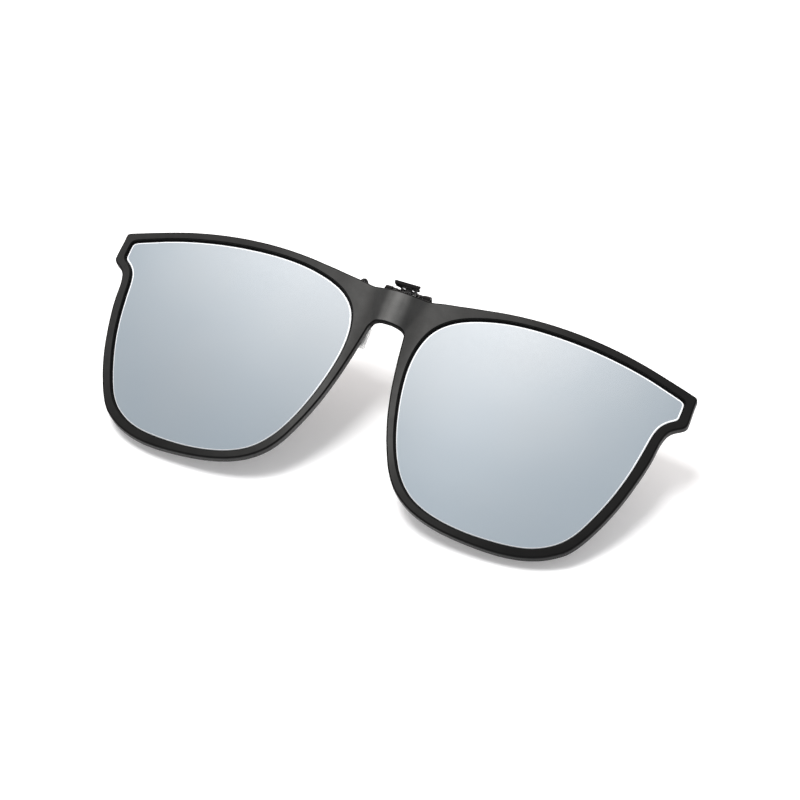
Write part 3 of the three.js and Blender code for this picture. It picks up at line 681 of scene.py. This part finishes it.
# ------------------------------------------------- solids from distance functions
def surface_net(f, lo, hi, h):
    """A smooth closed mesh of the surface f = 0, with f below 0 inside."""
    lo, hi = np.asarray(lo, float), np.asarray(hi, float)
    n = np.ceil((hi - lo) / h).astype(int) + 1
    axes = [lo[k] + h * np.arange(n[k]) for k in range(3)]
    X, Y, Z = np.meshgrid(*axes, indexing="ij")
    V = f(X, Y, Z)
    V = np.where(np.abs(V) < 1e-7, 1e-7, V)
    S = V < 0
    c = sum(S[i:n[0] - 1 + i, j:n[1] - 1 + j, k:n[2] - 1 + k].astype(np.int8)
            for i in (0, 1) for j in (0, 1) for k in (0, 1))
    active = (c > 0) & (c < 8)
    cells = np.argwhere(active)
    index = -np.ones(active.shape, int)
    index[tuple(cells.T)] = np.arange(len(cells))
    total, count = np.zeros((len(cells), 3)), np.zeros(len(cells))
    corners = [(i, j, k) for i in (0, 1) for j in (0, 1) for k in (0, 1)]
    for a in corners:
        for b in corners:
            if b > a and sum(abs(p - q) for p, q in zip(a, b)) == 1:
                ia, ib = cells + a, cells + b
                va, vb = V[tuple(ia.T)], V[tuple(ib.T)]
                cross = (va < 0) != (vb < 0)
                t = np.where(cross, va / np.where(cross, va - vb, 1), 0)
                p = np.array(a) + t[:, None] * (np.array(b) - np.array(a))
                total[cross] += p[cross]
                count[cross] += 1
    P = lo + h * (cells + total / count[:, None])
    # settle the points on the surface
    for _ in range(3):
        e = h * 0.15
        fx = f(P[:, 0], P[:, 1], P[:, 2])
        g = np.stack([(f(P[:, 0] + e, P[:, 1], P[:, 2]) - f(P[:, 0] - e, P[:, 1], P[:, 2])),
                      (f(P[:, 0], P[:, 1] + e, P[:, 2]) - f(P[:, 0], P[:, 1] - e, P[:, 2])),
                      (f(P[:, 0], P[:, 1], P[:, 2] + e) - f(P[:, 0], P[:, 1], P[:, 2] - e))], axis=1) / (2 * e)
        step = (fx / np.maximum((g ** 2).sum(1), 0.2))[:, None] * g
        size = np.linalg.norm(step, axis=1)[:, None]
        P = P - step * np.minimum(1, 0.35 * h / np.maximum(size, 1e-9))
    faces = []
    for axis in range(3):
        u, v = (axis + 1) % 3, (axis + 2) % 3
        sl_a = [slice(None)] * 3
        sl_b = [slice(None)] * 3
        sl_a[axis], sl_b[axis] = slice(0, n[axis] - 1), slice(1, n[axis])
        edge = S[tuple(sl_a)] != S[tuple(sl_b)]
        E = np.argwhere(edge)
        ok = (E[:, u] > 0) & (E[:, u] < n[u] - 1) & (E[:, v] > 0) & (E[:, v] < n[v] - 1)
        E = E[ok]
        du, dv = np.zeros(3, int), np.zeros(3, int)
        du[u], dv[v] = 1, 1
        q = np.stack([index[tuple((E - du - dv).T)], index[tuple((E - dv).T)], index[tuple(E.T)],
                      index[tuple((E - du).T)]], axis=1)
        faces.append(q)
    return P, np.vstack(faces)


def smooth_min(a, b, k):
    h = np.clip(0.5 + 0.5 * (b - a) / k, 0, 1)
    return b + (a - b) * h - k * h * (1 - h)


def smooth_max(a, b, k):
    return -smooth_min(-a, -b, k)


def slab(d2, along, half, r):
    """A flat shape given thickness, with rounded edges."""
    a, b = d2 + r, np.abs(along) - half + r
    return np.minimum(np.maximum(a, b), 0) + np.sqrt(np.maximum(a, 0) ** 2 + np.maximum(b, 0) ** 2) - r


def polygon_distance(px, py, polygon):
    P = np.asarray(polygon, float)
    d = np.full(np.shape(px), 1e9)
    sign = np.ones(np.shape(px))
    for i in range(len(P)):
        a, b = P[i], P[i - 1]
        e = b - a
        wx, wy = px - a[0], py - a[1]
        t = np.clip((wx * e[0] + wy * e[1]) / (e @ e), 0, 1)
        d = np.minimum(d, (wx - e[0] * t) ** 2 + (wy - e[1] * t) ** 2)
        c1, c2, c3 = py >= a[1], py < b[1], e[0] * wy > e[1] * wx
        sign = np.where((c1 & c2 & c3) | (~c1 & ~c2 & ~c3), -sign, sign)
    return sign * np.sqrt(d)


def rect_distance(px, py, x0, x1, y0, y1):
    dx, dy = np.abs(px - (x0 + x1) / 2) - (x1 - x0) / 2, np.abs(py - (y0 + y1) / 2) - (y1 - y0) / 2
    return np.minimum(np.maximum(dx, dy), 0) + np.sqrt(np.maximum(dx, 0) ** 2 + np.maximum(dy, 0) ** 2)


def net_piece(name, f, lo, hi, h, material, body, node_name):
    P, F = surface_net(f, lo, hi, h)
    return make_piece(name, put(P), F, [material], body, node_name)


def pin_radius(Y, Z):
    return np.sqrt((Y - PIN[0]) ** 2 + (Z - PIN[1]) ** 2)


def rear_jaw(X, Y, Z):
    """Thumb tab over the pin, with its turned-up lip, two oval holes and cheeks."""
    mid = 13.6 + 0.1 * (Y - PIN[0])
    A = np.abs(X)
    plan = [(0, 6.2), (2.5, 6.2), (2.7, 6.05), (2.7, 5.45), (2.5, 5.2), (2.14, 4.95), (2.05, 4.5), (2.05, 3.5), (2.18, 3.2),
            (2.5, 2.98), (2.9, 2.85), (3.08, 2.65), (3.1, 0.95), (0, 0.95)]
    plate2 = polygon_distance(A, Y, plan + [(-1, 0.95), (-1, 6.2)])
    oval = (np.sqrt(((A - 1.15) / 0.42) ** 2 + ((Y - 3.7) / 0.85) ** 2) - 1) * 0.45
    plate2 = np.maximum(plate2, -oval)
    plate = slab(plate2, Z - mid, 0.24, 0.09)
    lip2 = polygon_distance(A, Z, [(-1, 12.98), (2.85, 12.98), (3.05, 13.1), (3.18, 13.3), (3.32, 13.6), (3.34, 13.8), (3.2, 13.96), (-1, 13.97)])
    lip = slab(lip2, Y - 1.175, 0.225, 0.1)
    d = smooth_min(plate, lip, 0.22)
    cheek2 = smooth_min(pin_radius(Y, Z) - 1.05,
                        polygon_distance(Y, Z, [(5.0, 11.35), (5.9, 12.0), (6.2, 13.0), (6.2, 13.7), (5.35, 13.62), (4.8, 13.3)]), 0.15)
    cheek = slab(cheek2, A - 2.45, 0.25, 0.1)
    d = smooth_min(d, cheek, 0.16)
    return smooth_max(d, R_BORE - pin_radius(Y, Z), 0.05)


def hinge_bracket(X, Y, Z):
    """Folded plate behind the bridge, with arms that roll round the pin."""
    A = np.abs(X)
    plate2 = np.minimum(rect_distance(A, Z, -1, 3.2, 3.3, 10.26), rect_distance(A, Z, -1, 5.9, 9.84, 10.26))
    plate = slab(plate2, Y - 0.65, 0.3, 0.12)
    arm2 = polygon_distance(Y, Z, [(0.42, 9.86), (0.95, 9.86), (5.0, 11.35), (4.9, 12.3), (4.15, 12.3), (0.42, 10.24)])
    d2 = smooth_min(arm2, pin_radius(Y, Z) - 1.3, 0.35)
    arm = slab(d2, A - 4.95, 0.95, 0.16)
    d = smooth_min(plate, arm, 0.22)
    d = smooth_max(d, R_BORE - pin_radius(Y, Z), 0.06)
    hole = np.sqrt((A - SCREW_X) ** 2 + (Z - SCREW_Z) ** 2)
    return smooth_max(d, 0.6 - hole, 0.05)


def front_jaw(X, Y, Z):
    """Plate that hangs from the pin behind the bridge."""
    A = np.abs(X)
    plate2 = polygon_distance(A, Z, [(-1, 2.6), (2.9, 2.6), (3.25, 2.75), (3.4, 3.1), (3.4, 11.2), (-1, 11.2)])
    notch = rect_distance(A, Z, -1, 2.2, 10.45, 12.5)
    plate2 = np.maximum(plate2, -notch + 0.0)
    plate = slab(plate2, Y - 2.6, 0.3, 0.12)
    cheek2 = smooth_min(pin_radius(Y, Z) - 1.15,
                        polygon_distance(Y, Z, [(2.35, 9.0), (2.9, 9.0), (5.6, 11.5), (4.8, 13.3), (3.7, 12.9), (2.35, 11.2)]), 0.15)
    cheek = slab(cheek2, A - 3.15, 0.25, 0.1)
    d = smooth_min(plate, cheek, 0.18)
    return smooth_max(d, R_BORE - pin_radius(Y, Z), 0.05)


def bridge_pad(X, Y, Z):
    """Cushion between the jaws, crowned, with fine grip ribs."""
    body2 = rect_distance(X, Z, -2.6 + 0.7, 2.6 - 0.7, 4.5 + 0.7, 8.1 - 0.7) - 0.7
    rib = 0.05 * np.cos(2 * math.pi * (Z - 6.3) / 0.72) * np.clip((2.3 - np.abs(X)) / 0.3, 0, 1) * np.clip((1.55 - np.abs(Z - 6.3)) / 0.3, 0, 1)
    crown = 0.08 * (1 - (X / 2.6) ** 2) * (1 - ((Z - 6.3) / 1.8) ** 2)
    face = Y - (3.47 + rib + crown)
    d = smooth_max(body2, np.maximum(face, 2.92 - Y), 0.22)
    return d


# -------------------------------------------------------------- turned and swept
def turned(profile, sides, axis, place):
    """A closed solid turned from (radius, height) points about an axis."""
    P, F = [], []
    n = len(profile)
    for r, hgt in profile:
        for i in range(sides):
            a = 2 * math.pi * i / sides
            P.append((max(r, 0) * math.cos(a), max(r, 0) * math.sin(a), hgt))
    rows = []
    for k in range(n - 1):
        rows += strip_faces(k * sides, (k + 1) * sides, sides)
    P = np.array(P)
    if axis == "X":
        P = P[:, [2, 0, 1]]
    elif axis == "Y":
        P = P[:, [0, 2, 1]]
    P = P + np.asarray(place, float)
    return P, rows


def weld(P, F, eps=1e-5):
    """Joins points that lie together and drops faces that have no area."""
    key = np.round(np.asarray(P) / eps).astype(np.int64)
    _, first, inverse = np.unique(key, axis=0, return_index=True, return_inverse=True)
    inverse = np.asarray(inverse).reshape(-1)
    out = []
    for f in F:
        g = [int(inverse[i]) for i in f]
        h = [v for k, v in enumerate(g) if v != g[k - 1]]
        if len(set(h)) >= 3:
            out.append(h)
    return np.asarray(P)[first], out


def rounded(profile, radius=0.08, steps=3):
    """The profile's corners, cut with small curves."""
    P = [np.array(p, float) for p in profile]
    out = [tuple(P[0])]
    for a, b, c in zip(P, P[1:], P[2:]):
        la, lc = np.linalg.norm(a - b), np.linalg.norm(c - b)
        r = min(radius, la * 0.45, lc * 0.45)
        p, q = b + (a - b) / la * r, b + (c - b) / lc * r
        for k in range(steps + 1):
            t = k / steps
            out.append(tuple((1 - t) ** 2 * p + 2 * t * (1 - t) * b + t * t * q))
    out.append(tuple(P[-1]))
    return out


def frames(line):
    """Tangents and two steady sideways directions along a line."""
    T = np.gradient(line, axis=0)
    T /= np.linalg.norm(T, axis=1)[:, None]
    ref = np.array([0.0, 1.0, 0.0]) if abs(T[0][1]) < 0.9 else np.array([1.0, 0, 0])
    U = [np.cross(T[0], ref)]
    U[0] /= np.linalg.norm(U[0])
    for k in range(1, len(line)):
        u = U[-1] - T[k] * (U[-1] @ T[k])
        U.append(u / np.linalg.norm(u))
    U = np.array(U)
    return T, U, np.cross(T, U)


def sweep(line, radii, sides, closed_rings=False):
    """Rings round a line. radii gives each ring's radius; the ends are left open.
    closed_rings is not used."""
    T, U, W = frames(line)
    a = 2 * math.pi * np.arange(sides) / sides
    P = []
    for c, u, w, r in zip(line, U, W, radii):
        P.append(c + r * (np.cos(a)[:, None] * u + np.sin(a)[:, None] * w))
    P = np.vstack(P)
    F = []
    for k in range(len(line) - 1):
        F += strip_faces(k * sides, (k + 1) * sides, sides)
    return P, F, (T, U, W)


def wire(line, r, sides=20):
    """A round wire with domed ends."""
    line = np.asarray(line, float)
    T = np.gradient(line, axis=0)
    T /= np.linalg.norm(T, axis=1)[:, None]
    dome = [math.radians(x) for x in (80, 60, 40, 20)]
    head = [line[0] + T[0] * r * (1 - math.sin(d)) * 1.0 for d in dome]
    tail = [line[-1] - T[-1] * r * (1 - math.sin(d)) * 1.0 for d in reversed(dome)]
    keep = (np.linalg.norm(line - line[0], axis=1) > r) & (np.linalg.norm(line - line[-1], axis=1) > r)
    full = np.vstack([head, line[keep], tail])
    radii = [r * math.cos(d) for d in dome] + [r] * keep.sum() + [r * math.cos(d) for d in reversed(dome)]
    P, F, _ = sweep(full, radii, sides)
    P = np.vstack([P, line[:1], line[-1:]])
    i0, i1 = len(P) - 2, len(P) - 1
    last = (len(full) - 1) * sides
    for i in range(sides):
        j = (i + 1) % sides
        F.append([i0, j, i])
        F.append([i1, last + i, last + j])
    return P, F


def tube(line, outer, inner, sides=28, round_end=0.22, blind=0.0):
    """A sleeve: outside, rounded ends, and the bore. blind closes the far end."""
    line = np.asarray(line, float)
    s = np.r_[0, np.cumsum(np.linalg.norm(np.diff(line, axis=0), axis=1))]
    total = s[-1]

    def at(d):
        return np.stack([np.interp(d, s, line[:, k]) for k in range(3)], axis=-1)

    T, U, W = frames(line)

    def ring(d, r):
        c = at(d)
        k = int(np.clip(np.searchsorted(s, d), 1, len(s) - 1))
        f = (d - s[k - 1]) / max(s[k] - s[k - 1], 1e-9)
        u = U[k - 1] * (1 - f) + U[k] * f
        w = W[k - 1] * (1 - f) + W[k] * f
        u, w = u / np.linalg.norm(u), w / np.linalg.norm(w)
        a = 2 * math.pi * np.arange(sides) / sides
        return c + r * (np.cos(a)[:, None] * u + np.sin(a)[:, None] * w)

    prof = []
    e = round_end
    for k in range(5):
        a = math.pi / 2 * k / 4
        prof.append((e * (1 - math.sin(a)), outer - e * (1 - math.cos(a)) if k else outer - e))
    prof = [(e * (1 - math.sin(a)), outer - e * (1 - math.cos(a))) for a in [math.pi / 2 * (1 - k / 4) for k in range(5)]]
    # prof runs from the end face (depth 0 at radius outer - e) to the side
    start = [(0.0, inner + 0.04), (0.0, outer - e)]
    side_a = [(e * (1 - math.cos(math.pi / 2 * k / 4)), outer - e * (1 - math.sin(math.pi / 2 * k / 4))) for k in range(1, 5)]
    mids = [(d, outer * (1 + 0.012 * math.sin(6.0 * d))) for d in np.linspace(e, total - e, max(8, int(total / 0.3)))[1:-1]]
    side_b = [(total - d, r) for d, r in reversed(side_a)]
    rings = start + side_a + mids + side_b
    if blind:
        rings += [(total, outer - e), (total, (outer - e) * 0.5), (total, 1e-6)]
        bore = [(total - blind, 1e-6), (total - blind, inner * 0.6), (total - blind - 0.1, inner)]
    else:
        rings += [(total, outer - e), (total, inner + 0.04)]
        bore = [(total - 0.04, inner)]
    bore += [(d, inner) for d in np.linspace(total - max(blind, 0.1) - 0.2, 0.3, max(6, int(total / 0.4)))]
    bore += [(0.04, inner)]
    P, F = [], []
    groups = [rings, bore] if blind else [rings + bore]
    for g in groups:
        begin = sum(len(x) for x in P)
        for d, r in g:
            P.append(ring(d, r))
        for k in range(len(g) - 1):
            F += strip_faces(begin + k * sides, begin + (k + 1) * sides, sides)
    total_rings = len(rings) + len(bore)
    F += strip_faces((total_rings - 1) * sides, 0, sides)
    return weld(np.vstack(P), F)


def claw_line_front(s):
    pts = [(s * 0.7, 3.42, 3.7), (s * 3.0, 3.42, 3.6), (s * 4.8, 3.68, 2.75), (s * 5.54, 4.0, 1.3),
           (s * SLEEVE_X, 4.1, 0), (s * SLEEVE_X, 4.1, -2), (s * SLEEVE_X, 4.1, -3.9)]
    return spaced(catmull(pts), count=60)


def claw_line_rear(s):
    lean = -s * HOOK_LEAN
    raw = [(0.5, 6.6, 12.5), (2.6, 6.62, 12.4), (4.6, 6.82, 12.0), (8, 6.85, 11.8), (10.6, 6.9, 12.2), (11.6, 6.95, 13.3),
           (12.3, 7.2, 14.02), (13.1, 7.8, 14.1), (13.7, 8.6, 13.55), (13.8, 9.2, 12.2), (13.75, 9.4, 9), (13.7, 9.4, 5.6)]
    return catmull([(s * x, y, z + lean * x / 13) for x, y, z in raw])


def make_clip():
    net_piece("thumb_tab_jaw", rear_jaw, (-3.6, 0.7, 11.0), (3.6, 6.5, 14.3), 0.075, METAL, "jaw", "rear_jaw")
    net_piece("hinge_bracket_plate", hinge_bracket, (-6.1, 0.15, 3.0), (6.1, 6.4, 13.95), 0.095, METAL, "front", "hinge_bracket")
    net_piece("front_jaw_plate", front_jaw, (-3.65, 2.1, 2.35), (3.65, 6.2, 13.8), 0.085, METAL, "clip", "front_jaw")
    net_piece("bridge_grip_pad", bridge_pad, (-2.8, 2.8, 4.3), (2.8, 3.85, 8.3), 0.075, PAD, "clip", "bridge_pad")

    # hinge pin with peened heads
    prof = rounded([(0, -6.22), (0.45, -6.2), (0.7, -6.11), (0.7, -5.98), (0.42, -5.98), (0.42, 5.98), (0.7, 5.98),
                    (0.7, 6.11), (0.45, 6.2), (0, 6.22)], 0.05, 3)
    P, F = weld(*turned(prof, 36, "X", (0, *PIN)))
    make_piece("hinge_pin_rod", put(P), F, [METAL], "clip", "hinge_pin", sharp=40)

    for side, s in (("right", 1), ("left", -1)):
        prof = rounded([(0.6, -0.15), (1.15, -0.15), (1.15, 0.15), (0.6, 0.15)], 0.06, 3)
        prof = [(0.6, -0.1)] + prof[1:-1] + [(0.6, 0.1)]
        P, F = turned(prof, 40, "X", (s * 3.7, *PIN))
        F += strip_faces((len(prof) - 1) * 40, 0, 40)
        P, F = weld(P, F)
        make_piece(f"friction_ring_{side}", put(P), F, [NYLON], "clip", f"friction_washer_{side}", sharp=40)

        # screw: domed head with a cross recess, threaded shank
        prof = [(0, -2.0), (0.3, -1.98)]
        for k in range(28):
            prof.append((0.40 if k % 2 else 0.45, -1.9 + 1.75 * k / 27))
        prof += [(0.45, 0.02), (0.5, 0.1), (0.88, 0.1), (0.95, 0.14), (0.95, 0.3), (0.9, 0.4), (0.78, 0.48), (0.6, 0.54), (0.4, 0.57), (0.2, 0.58), (0, 0.58)]
        P, F = weld(*turned(prof, 36, "Y", (s * SCREW_X, 0.97, SCREW_Z)))
        obj = make_piece(f"bracket_fixing_screw_{side}", put(P), F, [METAL], "front", f"bracket_screw_{side}", sharp=30)
        slot_cutter(obj, s)

        P, F = wire(claw_line_front(s), 0.4)
        make_piece(f"front_claw_{side}", put(P), F, [METAL], "clip", f"front_claw_wire_{side}")
        line = np.array([(s * SLEEVE_X, 4.1, z) for z in np.linspace(1.0, -4.45, 40)])
        P, F = tube(line, 1.0, 0.62, 32, 0.42, blind=0.43)
        make_piece(f"front_grip_sleeve_{side}", put(P), F, [SLEEVE], "clip", f"front_claw_sleeve_{side}")

        full = spaced(claw_line_rear(s), count=140)
        P, F = wire(full, 0.4)
        make_piece(f"rear_claw_{side}", put(P), F, [METAL], "jaw", f"rear_claw_wire_{side}")
        cover = full[int(round(0.68 * 139)):]
        tail = cover[-1] + np.array([0, 0, -0.45])
        P, F = tube(np.vstack([cover, tail]), 1.0, 0.52, 32, 0.3)
        make_piece(f"rear_grip_sleeve_{side}", put(P), F, [SLEEVE], "jaw", f"rear_claw_sleeve_{side}")

    # torsion spring round the pin
    t = np.linspace(0, 1, 400)
    a = math.pi - t * 4.75 * 2 * math.pi
    coil = np.stack([-1.3 + 2.6 * t, PIN[0] + 0.65 * np.cos(a), PIN[1] + 0.65 * np.sin(a)], axis=1)
    first = catmull([(-1.3, 3.2, 8.6), (-1.3, 3.2, 9.8), (-1.3, 3.6, 11.1), (-1.3, 4.05, 11.9), tuple(coil[0])])
    last = catmull([tuple(coil[-1]), (1.3, 4.2, 11.74), (1.3, 3.2, 11.9), (1.3, 2.3, 12.4), (1.3, 1.8, 12.72)])
    line = spaced(np.vstack([first[:-1], coil, last[1:]]), count=520)
    P, F = wire(line, 0.16, 12)
    obj = make_piece("torsion_spring_coil", put(P), F, [STEEL], None, "torsion_spring")
    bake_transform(obj)


def slot_cutter(obj, s):
    """Cuts a cross recess into a screw's head."""
    bm = bmesh.new()
    for w, d in ((0.95, 0.2), (0.2, 0.95)):
        geo = bmesh.ops.create_cube(bm, size=1.0)
        for v in geo["verts"]:
            v.co.x = v.co.x * w + s * SCREW_X
            v.co.y = v.co.y * 0.5 + 1.62
            v.co.z = v.co.z * d + SCREW_Z
            v.co = Vector(put([tuple(v.co)])[0])
    mesh = bpy.data.meshes.new("recess")
    bm.to_mesh(mesh)
    bm.free()
    cutter = bpy.data.objects.new("recess", mesh)
    bpy.context.scene.collection.objects.link(cutter)
    mod = obj.modifiers.new("recess", "BOOLEAN")
    mod.operation, mod.solver, mod.object, mod.use_self = "DIFFERENCE", "EXACT", cutter, True
    bpy.context.view_layer.update()
    dg = bpy.context.evaluated_depsgraph_get()
    new = bpy.data.meshes.new_from_object(obj.evaluated_get(dg))
    obj.modifiers.clear()
    obj.data = new
    bpy.data.objects.remove(cutter)


front_frame()
for side, s in (("right", 1), ("left", -1)):
    lens(side, s)
make_clip()

# ------------------------------------------------------------------ camera, light
cam = bpy.data.cameras.new("camera")
cam.sensor_width = 36.0
cam.lens = 118.8587
cam.clip_start, cam.clip_end = 0.01, 20.0
camera = bpy.data.objects.new("camera", cam)
right = (0.921706068, 0.12888911, 0.365849042)
up = (-0.275932803, -0.445013157, 0.851953273)
back = (0.272615136, -0.886200253, -0.374606593)
camera.matrix_world = Matrix(((right[0], up[0], back[0], 0.179059881), (right[1], up[1], back[1], -0.555673986),
                              (right[2], up[2], back[2], -0.254990501), (0, 0, 0, 1)))
bpy.context.scene.collection.objects.link(camera)
bpy.context.scene.camera = camera


def floor():
    """The pale surface that the object lies on, face up: it all but touches the
    bottom of the rims and drops away towards the clip."""
    half, n = 3.0, 12
    grid = [(-half + 2 * half * i / n, -half + 2 * half * j / n) for j in range(n + 1) for i in range(n + 1)]
    co = [(x, 0.0040 + FLOOR_SLOPE * (z + 0.050), z) for x, z in grid]
    fs = [(j * (n + 1) + i, j * (n + 1) + i + 1, (j + 1) * (n + 1) + i + 1, (j + 1) * (n + 1) + i) for j in range(n) for i in range(n)]
    mesh = bpy.data.meshes.new("floor")
    mesh.from_pydata(co, [], fs)
    obj = bpy.data.objects.new("floor", mesh)
    bpy.context.scene.collection.objects.link(obj)
    m, nt, out = new_material("floor_white")
    mm = millimetres(nt)
    tone = ramp(nt, noise(nt, mm, 0.02, 2, 0.5), [(0.3, (0.93, 0.93, 0.93)), (0.7, (0.95, 0.95, 0.95))])
    soft = node(nt, "ShaderNodeBsdfDiffuse", {"Color": tone})
    glow = node(nt, "ShaderNodeEmission", {"Color": tone, "Strength": 0.13})
    shade = node(nt, "ShaderNodeAddShader", {0: soft.outputs[0], 1: glow.outputs[0]})
    clear = node(nt, "ShaderNodeBsdfTransparent")
    behind = node(nt, "ShaderNodeNewGeometry").outputs["Backfacing"]
    mix = node(nt, "ShaderNodeMixShader", {0: behind, 1: shade.outputs[0], 2: clear.outputs[0]})
    nt.links.new(mix.outputs[0], out.inputs["Surface"])
    mesh.materials.append(m)
    obj.visible_shadow = False
    return obj


floor()


def world():
    """A soft studio: pale all round, brighter high in front."""
    w = bpy.data.worlds.new("studio")
    bpy.context.scene.world = w
    w.use_nodes = True
    nt = w.node_tree
    nt.nodes.clear()
    out = nt.nodes.new("ShaderNodeOutputWorld")
    tc = node(nt, "ShaderNodeTexCoord")
    sep = node(nt, "ShaderNodeSeparateXYZ", {0: tc.outputs["Generated"]})

    def math_node(op, a, b=0.0, c=0.0):
        n = nt.nodes.new("ShaderNodeMath")
        n.operation = op
        for k, v in enumerate((a, b, c)):
            if isinstance(v, bpy.types.NodeSocket):
                nt.links.new(v, n.inputs[k])
            else:
                n.inputs[k].default_value = v
        return n.outputs[0]

    x, z = sep.outputs["X"], sep.outputs["Z"]
    dx = math_node("DIVIDE", math_node("ADD", x, 0.27), 0.335)
    d2 = math_node("MULTIPLY", dx, dx)
    gx = math_node("EXPONENT", math_node("MULTIPLY", math_node("MULTIPLY", d2, d2), -1.0))
    gz = node(nt, "ShaderNodeMapRange", {"Value": z, "From Min": 0.14, "From Max": 0.46, "To Min": 0.0, "To Max": 1.0}).outputs["Result"]
    lobe = math_node("MULTIPLY", gx, math_node("POWER", gz, 1.5))
    col = node(nt, "ShaderNodeMix", {"Factor": lobe}, data_type="RGBA")
    rgba = [i for i in col.inputs if i.type == "RGBA"]
    rgba[0].default_value = (0.635, 0.64, 0.655, 1)
    rgba[1].default_value = (1.72, 1.58, 1.51, 1)
    lit = node(nt, "ShaderNodeBackground", {"Color": [o for o in col.outputs if o.type == "RGBA"][0], "Strength": 1.0})
    white = node(nt, "ShaderNodeBackground", {"Color": (1, 1, 1, 1), "Strength": 1.0})
    lp = node(nt, "ShaderNodeLightPath")
    mix = node(nt, "ShaderNodeMixShader", {0: lp.outputs["Is Camera Ray"], 1: lit.outputs[0], 2: white.outputs[0]})
    nt.links.new(mix.outputs[0], out.inputs["Surface"])


world()


def softbox(name, direction, distance, size, power, target=(0, 0, -0.02)):
    data = bpy.data.lights.new(name, "AREA")
    data.shape, data.size, data.energy = "SQUARE", size, power
    obj = bpy.data.objects.new(name, data)
    d = Vector(direction).normalized()
    obj.location = Vector(target) + d * distance
    obj.rotation_mode = "QUATERNION"
    obj.rotation_quaternion = (-d).to_track_quat("-Z", "Y")
    obj.visible_glossy = False
    bpy.context.scene.collection.objects.link(obj)
    return obj


softbox("key", (-0.14, -1.0, 0.2), 1.3, 0.46, 15.0)

bpy.context.scene.view_settings.view_transform = "Standard"
bpy.context.scene.view_settings.look = "None"
